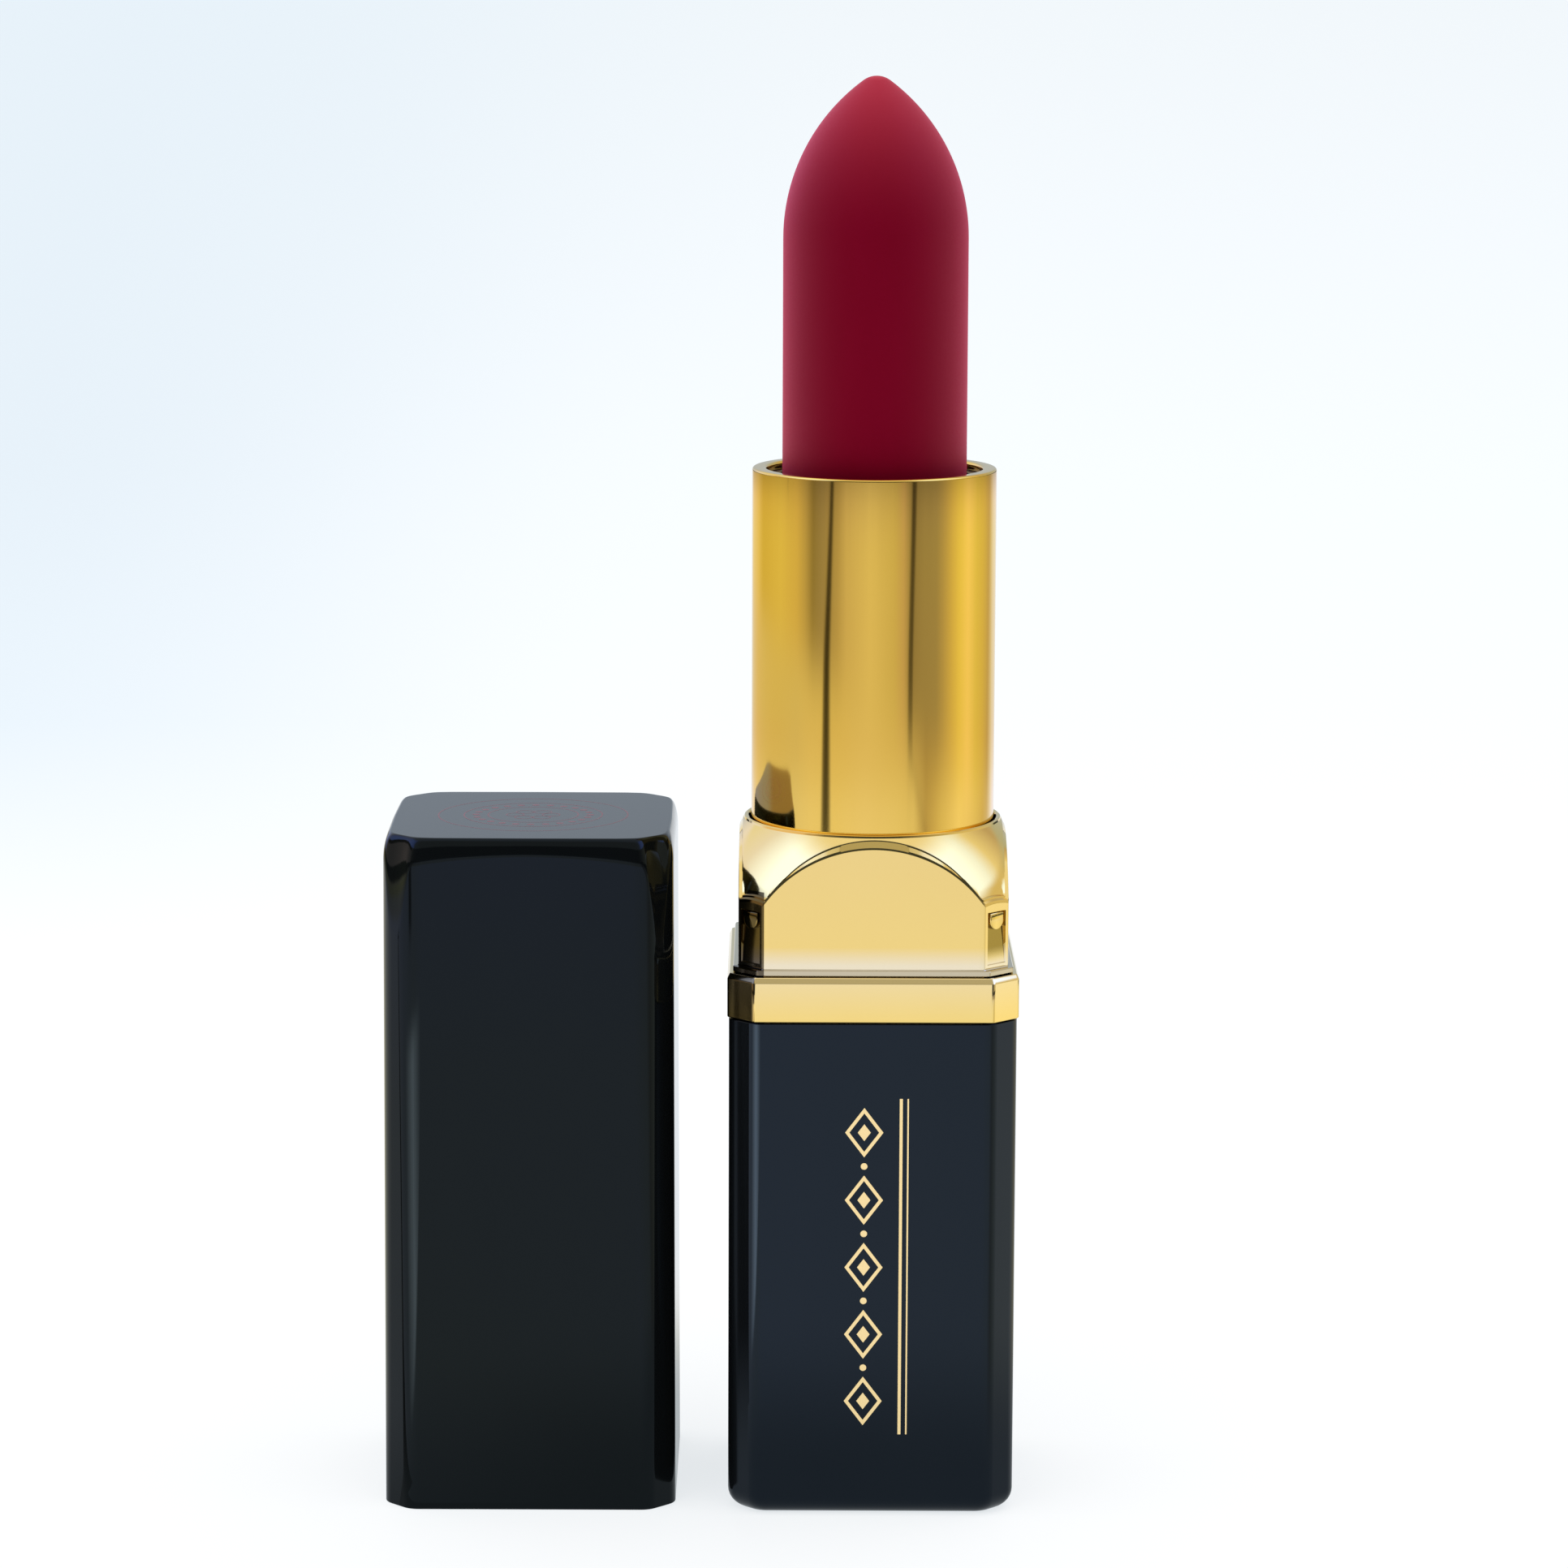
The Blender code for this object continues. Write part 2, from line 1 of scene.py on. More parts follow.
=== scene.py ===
"""The looks of a twist-up lipstick case with its cap standing beside it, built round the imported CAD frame."""

import math

import bmesh
import bpy
from mathutils import Matrix, Vector


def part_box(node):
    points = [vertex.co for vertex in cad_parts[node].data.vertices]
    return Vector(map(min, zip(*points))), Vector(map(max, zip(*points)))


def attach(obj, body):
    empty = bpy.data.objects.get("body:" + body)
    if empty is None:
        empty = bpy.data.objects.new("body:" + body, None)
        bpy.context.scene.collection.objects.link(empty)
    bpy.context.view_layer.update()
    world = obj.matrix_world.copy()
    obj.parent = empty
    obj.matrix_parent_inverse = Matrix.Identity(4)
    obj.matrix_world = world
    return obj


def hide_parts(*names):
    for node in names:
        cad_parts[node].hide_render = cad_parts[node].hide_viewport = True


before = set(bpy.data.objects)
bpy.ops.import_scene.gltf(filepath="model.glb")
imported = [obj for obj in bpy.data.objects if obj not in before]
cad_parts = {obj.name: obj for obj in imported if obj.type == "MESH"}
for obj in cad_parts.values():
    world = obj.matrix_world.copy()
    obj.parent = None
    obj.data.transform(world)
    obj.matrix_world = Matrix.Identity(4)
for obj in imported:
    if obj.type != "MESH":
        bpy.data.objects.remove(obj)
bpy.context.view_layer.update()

MM = 0.001
SQRT2 = math.sqrt(2.0)
ROUND_STEPS = 128

# Base, band and cap: squares with cut corners, whose upright edges are softened.
CASE_CHAMFER = 1.7 * MM
BASE_CORNER_SOFTNESS = 1.3 * MM
BAND_CORNER_SOFTNESS = 0.35 * MM
CAP_CORNER_SOFTNESS = 1.35 * MM
CAP_CROWN_SOFTNESS = 2.4 * MM
BASE_FOOT_ROUND = 1.4 * MM
BASE_RIM_ROUND = 0.06 * MM
BASE_WALL = 0.75 * MM
BASE_FLOOR = 1.4 * MM
BAND_FOOT_ROUND = 0.1 * MM
BAND_WALL = 0.85 * MM
CAP_TAPER = 0.14 * MM
CAP_WALL = 0.62 * MM
CAP_ROOF = 1.0 * MM
CAP_LIP_ROUND = 0.08 * MM
CAP_FLAT_STEPS = 16
CAP_CROWN_STEPS = 22
# The rounding of the cap's top edge: in mid-flat, what it gains along the flat, and at a corner.
CAP_EDGE_WIDTHS = (0.42 * MM, 0.08 * MM, 0.34 * MM)
CAP_EDGE_DEPTHS = (1.2 * MM, 0.75 * MM, 5.2 * MM)
CAP_FLAT_END = 0.82

# Collar: heights from the base's underside, distances from the upright axis.
COLLAR_HALF = 8.81 * MM
COLLAR_CHAMFER = 1.6 * MM
COLLAR_CORNER_FACE = SQRT2 * COLLAR_HALF - COLLAR_CHAMFER / SQRT2
COLLAR_BORE = 8.18 * MM
COLLAR_NECK = 8.5 * MM
COLLAR_STEP = 0.23 * MM
COLLAR_FLAT_STEPS = 72
COLLAR_DOME_STEPS = 16
FLANGE_TOP = 36.6 * MM
FLANGE_BOTTOM = 36.3 * MM
SKIRT_HALF = 8.55 * MM
UPPER_DOME = (11.67 * MM, 37.25 * MM)
LOWER_DOME = (12.45 * MM, 35.83 * MM)
POCKET_TOP = 40.36 * MM
POCKET_WIDTH = 1.66 * MM
POCKET_PROFILE = (
    (POCKET_TOP, 0.03 * MM), (40.35 * MM, 0.30 * MM), (38.3 * MM, 0.14 * MM), (37.9 * MM, 0.113 * MM),
    (37.5 * MM, 0.085 * MM), (36.95 * MM, 0.06 * MM),
)

OGIVE_LENGTH = 10.8 * MM
POINT_ABOVE_TIP = 0.3 * MM
FOIL_DEPTH = 0.012 * MM
# Painted reflection: the pale tone that gold is drawn towards by height.
PALE_REFLECTION_TONE = (0.86, 0.78, 0.58)
# Painted shade: the dark tone multiplied into gold where it is sunk or mirrors only dark.
PAINTED_SHADE_PLATE = (0.1, 0.09, 0.09)


# ---------------- outlines and meshes


def wall_chamfer(chamfer, inset):
    """The corner cut of an octagon drawn inside another at one distance all round."""
    return chamfer - (2.0 - SQRT2) * inset


def soft_octagon(half, chamfer, softness, centre=(0.0, 0.0), steps=8, flat_steps=1):
    """A square with cut corners whose eight edges are rounded, as (x, y), counter-clockwise."""
    flat = half - chamfer
    sharp = [(half, -flat), (half, flat), (flat, half), (-flat, half)]
    sharp += [(-x, -y) for x, y in sharp]
    eighth = math.radians(45.0)
    reach = softness * math.tan(eighth / 2.0)
    outline = []
    for i, (x, y) in enumerate(sharp):
        heading = eighth * (i + 1)
        start = (x - reach * math.cos(heading), y - reach * math.sin(heading))
        pivot = (start[0] - softness * math.sin(heading), start[1] + softness * math.cos(heading))
        for step in range(steps + 1):
            turned = heading - math.radians(90.0) + eighth * step / steps
            outline.append((
                centre[0] + pivot[0] + softness * math.cos(turned),
                centre[1] + pivot[1] + softness * math.sin(turned),
            ))
    if flat_steps == 1:
        return outline
    divided = []
    for i, (x, y) in enumerate(outline):
        next_x, next_y = outline[(i + 1) % len(outline)]
        edge, place = divmod(i, steps + 1)
        cuts = flat_steps if place == steps and edge % 2 == 0 else 1
        divided += [(x + (next_x - x) * k / cuts, y + (next_y - y) * k / cuts) for k in range(cuts)]
    return divided


def case_row(half, inset, softness, z, **options):
    """One level row of points round the case, at an inset from its outline."""
    outline = soft_octagon(half - inset, wall_chamfer(CASE_CHAMFER, inset), softness, **options)
    return [(x, y, z) for x, y in outline]


def smooth(low, high, value):
    """A soft step from 0 at low to 1 at high."""
    share = min(1.0, max(0.0, (value - low) / (high - low)))
    return share * share * (3.0 - 2.0 * share)


def turns(steps):
    """Headings spread evenly round a full turn, in radians."""
    return [2.0 * math.pi * i / steps for i in range(steps)]


def circle(radius, z, steps=ROUND_STEPS, centre=(0.0, 0.0)):
    return [(centre[0] + radius * math.cos(a), centre[1] + radius * math.sin(a), z) for a in turns(steps)]


def quarter(radius, steps):
    """(inset, rise) pairs of a rounded edge: from the wall, round on to the top."""
    angles = [math.radians(90.0) * i / steps for i in range(steps + 1)]
    return [(radius * (1.0 - math.cos(angle)), radius * math.sin(angle)) for angle in angles]


def box_middle(low, high):
    return (low.x + high.x) / 2.0, (low.y + high.y) / 2.0


def skin(loops, closed=False):
    """A mesh skinned over loops with equal numbers of points: capped at both ends, or closed on itself."""
    builder = bmesh.new()
    rings = [[builder.verts.new(point) for point in loop] for loop in loops]
    pairs = list(zip(rings, rings[1:]))
    if closed:
        pairs.append((rings[-1], rings[0]))
    for lower, upper in pairs:
        count = len(lower)
        for i in range(count):
            j = (i + 1) % count
            builder.faces.new((lower[i], lower[j], upper[j], upper[i]))
    if not closed:
        builder.faces.new(list(reversed(rings[0])))
        builder.faces.new(rings[-1])
    return builder


def add_piece(name, builder, material, body, sharp_deg=40.0, weighted=True):
    """Turns a builder into a smooth-shaded object that rides on a body."""
    mesh = bpy.data.meshes.new(name)
    bmesh.ops.recalc_face_normals(builder, faces=builder.faces)
    builder.to_mesh(mesh)
    builder.free()
    mesh.materials.append(material)
    mesh.shade_smooth()
    mesh.set_sharp_from_angle(angle=math.radians(sharp_deg))
    piece = bpy.data.objects.new(name, mesh)
    bpy.context.scene.collection.objects.link(piece)
    if weighted:
        normals = piece.modifiers.new("face_normals", "WEIGHTED_NORMAL")
        normals.keep_sharp = True
        normals.weight = 100
    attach(piece, body)
    return piece


# ---------------- materials


class Graph:
    """A thin helper for building a material's or the world's node tree."""

    def __init__(self, tree):
        self.tree = tree

    def add(self, kind, **settings):
        node = self.tree.nodes.new(kind)
        for key, value in settings.items():
            setattr(node, key, value)
        return node

    def feed(self, node, name, source):
        """Links a socket into an input, or sets the input to a plain value."""
        if isinstance(source, bpy.types.NodeSocket):
            self.tree.links.new(source, node.inputs[name])
        else:
            node.inputs[name].default_value = source

    def maths(self, operation, first, second=0.0, third=0.0, clamp=False):
        node = self.add("ShaderNodeMath", operation=operation, use_clamp=clamp)
        for index, value in enumerate((first, second, third)):
            self.feed(node, index, value)
        return node.outputs[0]

    def product(self, *factors):
        result = factors[0]
        for factor in factors[1:]:
            result = self.maths("MULTIPLY", result, factor)
        return result

    def opposite(self, share):
        """0 where the share is 1, and 1 where it is 0."""
        return self.maths("SUBTRACT", 1.0, share)

    def split(self, vector):
        """The X, Y and Z of a vector."""
        node = self.add("ShaderNodeSeparateXYZ")
        self.feed(node, 0, vector)
        return node.outputs["X"], node.outputs["Y"], node.outputs["Z"]

    def step(self, value, low, high):
        """0 below low, 1 above high, and a soft step between."""
        node = self.add("ShaderNodeMapRange", interpolation_type="SMOOTHSTEP")
        self.feed(node, "Value", value)
        self.feed(node, "From Min", low)
        self.feed(node, "From Max", high)
        return node.outputs["Result"]

    def ramp(self, source, stops):
        node = self.add("ShaderNodeValToRGB")
        elements = node.color_ramp.elements
        while len(elements) < len(stops):
            elements.new(0.5)
        for element, (place, colour) in zip(elements, stops):
            element.position = place
            element.color = (*colour, 1.0)
        self.feed(node, "Fac", source)
        return node.outputs["Color"]

    def mix(self, factor, first, second, blend="MIX"):
        """Blends two colours: sockets, or (red, green, blue)."""
        node = self.add("ShaderNodeMix", data_type="RGBA", blend_type=blend)
        self.feed(node, "Factor", factor)
        for index, colour in ((6, first), (7, second)):
            self.feed(node, index, (*colour, 1.0) if isinstance(colour, tuple) else colour)
        return node.outputs[2]

    def place(self, stretch=(1.0, 1.0, 1.0)):
        """Object coordinates in metres, stretched."""
        coordinates = self.add("ShaderNodeTexCoord")
        mapping = self.add("ShaderNodeMapping")
        self.feed(mapping, "Scale", stretch)
        self.feed(mapping, "Vector", coordinates.outputs["Object"])
        return mapping.outputs["Vector"]

    def noise(self, vector, scale, detail=3.0, roughness=0.5):
        node = self.add("ShaderNodeTexNoise")
        self.feed(node, "Vector", vector)
        self.feed(node, "Scale", scale)
        self.feed(node, "Detail", detail)
        self.feed(node, "Roughness", roughness)
        return node.outputs["Fac"]

    def spread(self, value, low, high):
        """Maps a 0 to 1 value on to low to high."""
        node = self.add("ShaderNodeMapRange")
        self.feed(node, "Value", value)
        self.feed(node, "To Min", low)
        self.feed(node, "To Max", high)
        return node.outputs["Result"]

    def bump(self, height, distance, strength=1.0, normal=None):
        node = self.add("ShaderNodeBump")
        self.feed(node, "Strength", strength)
        self.feed(node, "Distance", distance)
        self.feed(node, "Height", height)
        if normal is not None:
            self.feed(node, "Normal", normal)
        return node.outputs["Normal"]


def new_material(name):
    material = bpy.data.materials.new(name)
    material.use_nodes = True
    graph = Graph(material.node_tree)
    shader = material.node_tree.nodes["Principled BSDF"]
    return material, graph, shader


def dress(graph, shader, **looks):
    """Feeds a shader's inputs, which are named with _ for a space. A tuple is a colour."""
    for name, source in looks.items():
        graph.feed(shader, name.replace("_", " "), (*source, 1.0) if isinstance(source, tuple) else source)


def lighter(colour, gain):
    return tuple(min(1.0, c * gain) for c in colour)


def lacquer_material(name, tone, tint, level, roughness):
    """Gloss black lacquer: faint orange peel, and a few soft smears that dull it here and there."""
    material, graph, shader = new_material(name)
    spot = graph.place()
    smear = graph.noise(graph.place((1.0, 1.0, 0.35)), 140.0, detail=4.0, roughness=0.6)
    peel = graph.noise(spot, 900.0, detail=2.0)
    dust = graph.noise(spot, 5200.0, detail=1.0)
    peeled = graph.bump(peel, distance=1.2e-6, strength=0.5)
    dress(
        graph, shader,
        Base_Color=graph.mix(smear, tone, lighter(tone, 1.5)),
        Roughness=graph.spread(smear, roughness * 0.7, roughness * 1.5),
        Normal=graph.bump(dust, distance=0.4e-6, strength=0.3, normal=peeled),
        Specular_IOR_Level=level,
        Specular_Tint=tint,
    )
    return material


def gold_material(name, colour, deep, roughness, streak=(1.0, 1.0, 1.0), painted_paleness=None, painted_shade=None):
    """Polished gold: the colour drifts a little, and the polish has faint streaks.

    The (palest, richest, amount) option paints a paler reflection: the plating is drawn paler from the height
    richest to the height palest.
    The shade option returns how much painted shade darkens the plating where it is sunk, or where it mirrors
    only dark.
    """
    material, graph, shader = new_material(name)
    drift = graph.noise(graph.place(), 160.0)
    polish = graph.noise(graph.place(streak), 1500.0, roughness=0.6)
    ripple = graph.noise(graph.place(), 420.0, detail=2.0)
    tone = graph.mix(drift, colour, deep)
    # Painted reflection: the plating drawn paler towards one height.
    if painted_paleness:
        palest, richest, amount = painted_paleness
        z = graph.split(graph.place())[2]
        near = graph.maths("DIVIDE", graph.maths("SUBTRACT", richest, z), richest - palest, clamp=True)
        tone = graph.mix(graph.product(near, amount), tone, PALE_REFLECTION_TONE)
    # Painted shade: a dark tone multiplied into the plating.
    if painted_shade:
        tone = graph.mix(painted_shade(graph), tone, PAINTED_SHADE_PLATE, "MULTIPLY")
    rippled = graph.bump(ripple, distance=1.0e-6, strength=0.35)
    dress(
        graph, shader,
        Base_Color=tone,
        Metallic=1.0,
        Roughness=graph.spread(polish, roughness * 0.75, roughness * 1.3),
        Normal=graph.bump(polish, distance=0.15e-6, strength=0.4, normal=rippled),
    )
    return material


def corner_shade(graph, half, chamfer):
    """1 on the front left cut corner, beside the cap, where painted shade stands in for the dark that the
    polish mirrors, and 0 elsewhere.
    """
    margin = 0.08 * MM
    edge = chamfer - half + margin
    x, y, _ = graph.split(graph.place())
    return graph.product(graph.maths("LESS_THAN", x, edge), graph.maths("LESS_THAN", y, edge))


def band_painted_shade(graph):
    """How much painted shade darkens the band: all but a tenth on its front left corner."""
    return graph.product(corner_shade(graph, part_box("trim_band")[1].x, CASE_CHAMFER), 0.9)


def collar_painted_shade(graph):
    """How much painted shade darkens the collar: in its pockets, on its flange and on its front left corner."""
    # Painted shade: how far each place is darkened.
    pocket_shade, flange_shade, corner_dark = 0.62, 0.36, 0.95
    film = 0.003 * MM
    x, y, z = graph.split(graph.place())
    wide, deep = graph.maths("ABSOLUTE", x), graph.maths("ABSOLUTE", y)
    across = graph.product(graph.maths("ADD", wide, deep), 1.0 / SQRT2)
    sunk = graph.maths("SUBTRACT", COLLAR_CORNER_FACE - film, across)
    pocket = graph.product(
        graph.step(graph.maths("MINIMUM", wide, deep), 7.33 * MM, 7.4 * MM),
        graph.step(sunk, 0.0, 0.03 * MM),
        graph.step(z, 37.15 * MM, 38.1 * MM),
        graph.maths("LESS_THAN", z, POCKET_TOP),
        pocket_shade,
    )
    flange = graph.product(graph.maths("LESS_THAN", z, FLANGE_TOP + 0.06 * MM), flange_shade)
    below_dome = graph.maths("LESS_THAN", z, 41.6 * MM)
    corner = graph.product(corner_shade(graph, COLLAR_HALF, COLLAR_CHAMFER), below_dome, corner_dark)
    return graph.maths("MAXIMUM", graph.maths("MAXIMUM", pocket, flange), corner)


def wax_material():
    """Matt crimson wax: a velvety surface with faint pour streaks, painted light at its rims and a painted
    highlight on its upward faces.
    """
    material, graph, shader = new_material("lip_wax")
    pour = graph.noise(graph.place((1.0, 1.0, 0.25)), 260.0, detail=4.0, roughness=0.55)
    grain = graph.noise(graph.place(), 6500.0)
    pits = graph.noise(graph.place(), 2400.0, detail=2.0)
    colour = graph.mix(pour, (0.128, 0.0003, 0.008), (0.155, 0.0006, 0.012))
    facing = graph.add("ShaderNodeLayerWeight")
    graph.feed(facing, "Blend", 0.5)
    # Painted rim light: a lighter, redder colour towards the outline.
    edge = graph.maths("POWER", facing.outputs["Facing"], 2.0, clamp=True)
    colour = graph.mix(edge, colour, (0.53, 0.033, 0.095))
    # Painted highlight: upward-facing faces drawn lighter, as if lit from above.
    upright = graph.split(graph.add("ShaderNodeTexCoord").outputs["Normal"])[2]
    painted_top_light = graph.maths("POWER", graph.maths("MAXIMUM", upright, 0.0), 2.0)
    pitted = graph.bump(pits, distance=4.0e-6, strength=0.25)
    graph.feed(shader, "Subsurface Radius", (0.9, 0.12, 0.1))
    dress(
        graph, shader,
        Base_Color=graph.mix(painted_top_light, colour, (0.47, 0.03, 0.055)),
        Roughness=graph.spread(grain, 0.5, 0.68),
        Specular_IOR_Level=0.3,
        Specular_Tint=(1.0, 0.06, 0.16),
        Subsurface_Weight=0.08,
        Subsurface_Scale=0.6 * MM,
        Sheen_Weight=0.07,
        Sheen_Roughness=0.3,
        Sheen_Tint=(1.0, 0.3, 0.42),
        Normal=graph.bump(grain, distance=2.0e-6, strength=0.4, normal=pitted),
    )
    return material


def plastic_material(name, colour, roughness, grain_scale=3000.0):
    """Moulded plastic: a fine spark-eroded grain and slightly uneven colour."""
    material, graph, shader = new_material(name)
    flow = graph.noise(graph.place(), 220.0)
    grain = graph.noise(graph.place(), grain_scale, detail=2.0)
    dress(
        graph, shader,
        Base_Color=graph.mix(flow, colour, lighter(colour, 1.25)),
        Roughness=graph.spread(grain, roughness * 0.85, roughness * 1.15),
        Normal=graph.bump(grain, distance=4.0e-6, strength=0.5),
    )
    return material


def zinc_material():
    """A cast zinc slug: dull metal with a coarse as-cast skin."""
    material, graph, shader = new_material("cast_zinc")
    crust = graph.noise(graph.place(), 900.0, detail=5.0, roughness=0.65)
    dress(
        graph, shader,
        Base_Color=graph.mix(crust, (0.36, 0.37, 0.39), (0.55, 0.56, 0.58)),
        Metallic=1.0,
        Roughness=graph.spread(crust, 0.35, 0.6),
        Normal=graph.bump(crust, distance=12.0e-6, strength=0.6),
    )
    return material


def paper_material():
    """A blank coated paper label with short fibres."""
    material, graph, shader = new_material("blank_label")
    fibre = graph.noise(graph.place((1.0, 6.0, 1.0)), 1600.0, detail=5.0, roughness=0.7)
    dress(
        graph, shader,
        Base_Color=graph.mix(fibre, (0.70, 0.69, 0.65), (0.82, 0.81, 0.78)),
        Roughness=graph.spread(fibre, 0.5, 0.65),
        Normal=graph.bump(fibre, distance=6.0e-6, strength=0.4),
    )
    return material


def foil_material(name, colour, roughness):
    """Hot-stamped foil: a thin metal film that is slightly mottled."""
    material, graph, shader = new_material(name)
    mottle = graph.noise(graph.place(), 2600.0, detail=4.0, roughness=0.6)
    dress(
        graph, shader,
        Base_Color=graph.mix(mottle, colour, lighter(colour, 1.1)),
        Metallic=0.35,
        Roughness=graph.spread(mottle, roughness * 0.8, roughness * 1.2),
        Normal=graph.bump(mottle, distance=1.0e-6, strength=0.4),
    )
    return material


# ---------------- pieces of the case


def make_base(material):
    """The base: a soft-cornered square shell, open at the top, with a rounded foot."""
    low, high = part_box("base_shell")
    foot = reversed(quarter(BASE_FOOT_ROUND, 8))
    rows = [(inset, low.z + BASE_FOOT_ROUND - rise) for inset, rise in foot]
    rows += [(inset, high.z - BASE_RIM_ROUND + rise) for inset, rise in quarter(BASE_RIM_ROUND, 2)]
    loops = [case_row(high.x, inset, BASE_CORNER_SOFTNESS, z) for inset, z in rows]
    for z in (high.z, low.z + BASE_FLOOR):
        loops.append(case_row(high.x, BASE_WALL, BASE_CORNER_SOFTNESS / 2.0, z))
    piece = add_piece("base_body", skin(loops), material, "base")
    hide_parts("base_shell")


def make_band(material):
    """The trim band: a crisp gold ring between the base and the collar."""
    low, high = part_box("trim_band")
    insets_and_drops = ((0.0, 0.38), (0.01, 0.35), (0.14, 0.06), (0.17, 0.02), (0.23, 0.0))
    foot = reversed(quarter(BAND_FOOT_ROUND, 3))
    rows = [(inset, low.z + BAND_FOOT_ROUND - rise) for inset, rise in foot]
    rows += [(inset * MM, high.z - drop * MM) for inset, drop in insets_and_drops]
    rows += [(BAND_WALL, high.z), (BAND_WALL, low.z)]
    loops = [case_row(high.x, inset, BAND_CORNER_SOFTNESS, z) for inset, z in rows]
    piece = add_piece("trim_ring", skin(loops, closed=True), material, "base", 50.0)
    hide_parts("trim_band")


def dome_height(dome, reach):
    """Height of a ball-turned shoulder at a distance from the axis."""
    radius, centre_z = dome
    return centre_z + math.sqrt(max(radius ** 2 - reach ** 2, 0.0))


def reach_along(half, chamfer, softness, heading):
    """Distance from the axis to a soft octagon along a heading."""
    ray = (math.cos(heading), math.sin(heading))
    outline = soft_octagon(half, chamfer, softness, steps=12)
    for (x0, y0), (x1, y1) in zip(outline, outline[1:] + outline[:1]):
        side_0 = ray[0] * y0 - ray[1] * x0
        side_1 = ray[0] * y1 - ray[1] * x1
        if side_0 <= 0.0 < side_1 and ray[0] * x0 + ray[1] * y0 > 0.0:
            share = side_0 / (side_0 - side_1)
            return math.hypot(x0 + (x1 - x0) * share, y0 + (y1 - y0) * share)
    raise ValueError("a heading misses the outline")


def collar_headings():
    """Headings round the collar, as (heading, share of the corner pocket's depth)."""
    flat = math.atan2(COLLAR_HALF - COLLAR_CHAMFER, COLLAR_HALF)
    pocket = math.atan2(POCKET_WIDTH / 2.0, COLLAR_CORNER_FACE)
    pad = math.radians(0.12)
    marks = []
    for quarter_turn in range(4):
        middle = quarter_turn * math.pi / 2.0
        corner = middle + math.pi / 4.0
        flat_pitch = 2.0 * flat / COLLAR_FLAT_STEPS
        marks += [(middle - flat + flat_pitch * (i + 0.5), 0.0) for i in range(COLLAR_FLAT_STEPS)]
        stretches = (
            (middle + flat, corner - pocket, 9, 0.0),
            (corner - pocket, corner + pocket, 14, 1.0),
            (corner + pocket, middle + math.pi / 2.0 - flat, 9, 0.0),
        )
        for first, last, steps, cut in stretches:
            pitch = (last - first - 2.0 * pad) / (steps - 1)
            marks += [(first + pad + pitch * i, cut) for i in range(steps)]
    return marks


def around(reach, height, *offsets):
    """Points of a section at (outward, upward) offsets in millimetres from one place on it."""
    return [(reach + outward * MM, height + upward * MM) for outward, upward in offsets]


def collar_column(heading, cut, low, high, flange_half):
    """One (reach, height) section of the collar, from the bore over the shoulder and down to the skirt.

    cut is the share of the corner pocket's depth at this heading.
    """
    edge_softness, flange_softness, skirt_softness = 0.22 * MM, 0.3 * MM, 0.2 * MM
    step_chamfer = wall_chamfer(COLLAR_CHAMFER, COLLAR_STEP)
    skirt_chamfer = wall_chamfer(COLLAR_CHAMFER, COLLAR_HALF - SKIRT_HALF)
    wall = reach_along(COLLAR_HALF, COLLAR_CHAMFER, edge_softness, heading)
    inner = reach_along(COLLAR_HALF - COLLAR_STEP, step_chamfer, edge_softness, heading)
    flange = reach_along(flange_half, COLLAR_CHAMFER, flange_softness, heading)
    skirt = reach_along(SKIRT_HALF, skirt_chamfer, skirt_softness, heading)

    # The bore and the rim round the tube.
    column = [(COLLAR_BORE, low)]
    column += around(COLLAR_BORE, high, (0.0, -0.12), (0.04, -0.04), (0.12, 0.0))
    column += around(COLLAR_NECK, high, (-0.12, 0.0), (-0.03, -0.05))

    # The ball-turned shoulder, which ends in a lip above the arch.
    strip_foot = dome_height(LOWER_DOME, wall)
    lip = strip_foot + 0.34 * MM
    brink = inner - 0.03 * MM
    for i in range(COLLAR_DOME_STEPS + 1):
        reach = COLLAR_NECK + (brink - COLLAR_NECK) * i / COLLAR_DOME_STEPS
        column.append((reach, max(dome_height(UPPER_DOME, reach), lip)))

    # The grooved strip along the arch.
    dome_edge = max(dome_height(UPPER_DOME, inner), lip)
    strip_head = max(dome_edge - 0.13 * MM, strip_foot + 0.14 * MM)
    column += around(inner, dome_edge, (0.0, -0.01)) + around(inner, strip_head, (0.02, 0.0))
    column += around(wall, strip_foot, (-0.035, 0.1), (-0.02, 0.01), (0.0, -0.06), (0.0, -0.09))

    # The wall, with a pocket in each corner.
    column += around(wall, POCKET_TOP, (0.0, 0.04))
    column += [(wall - depth * cut, height) for height, depth in POCKET_PROFILE]
    column += around(wall, POCKET_PROFILE[-1][0], (0.0, -0.05))

    # The flange, and the skirt under it.
    column += around(wall, FLANGE_TOP, (0.0, 0.06), (0.05, 0.0))
    column += around(flange, FLANGE_TOP, (-0.06, 0.0), (0.0, -0.06))
    column += [(flange, FLANGE_BOTTOM), (skirt, FLANGE_BOTTOM), (skirt, low)]
    return column


def make_collar(material):
    """The collar: an octagonal sleeve under a ball-turned shoulder, a grooved strip along each arch."""
    low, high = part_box("collar")
    headings = collar_headings()
    columns = [collar_column(heading, cut, low.z, high.z, high.x) for heading, cut in headings]
    loops = []
    for row in zip(*columns):
        marks = zip(headings, row)
        loops.append([(reach * math.cos(a), reach * math.sin(a), z) for (a, _), (reach, z) in marks])
    piece = add_piece("collar_body", skin(loops, closed=True), material, "base", 24.0)
    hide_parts("collar")


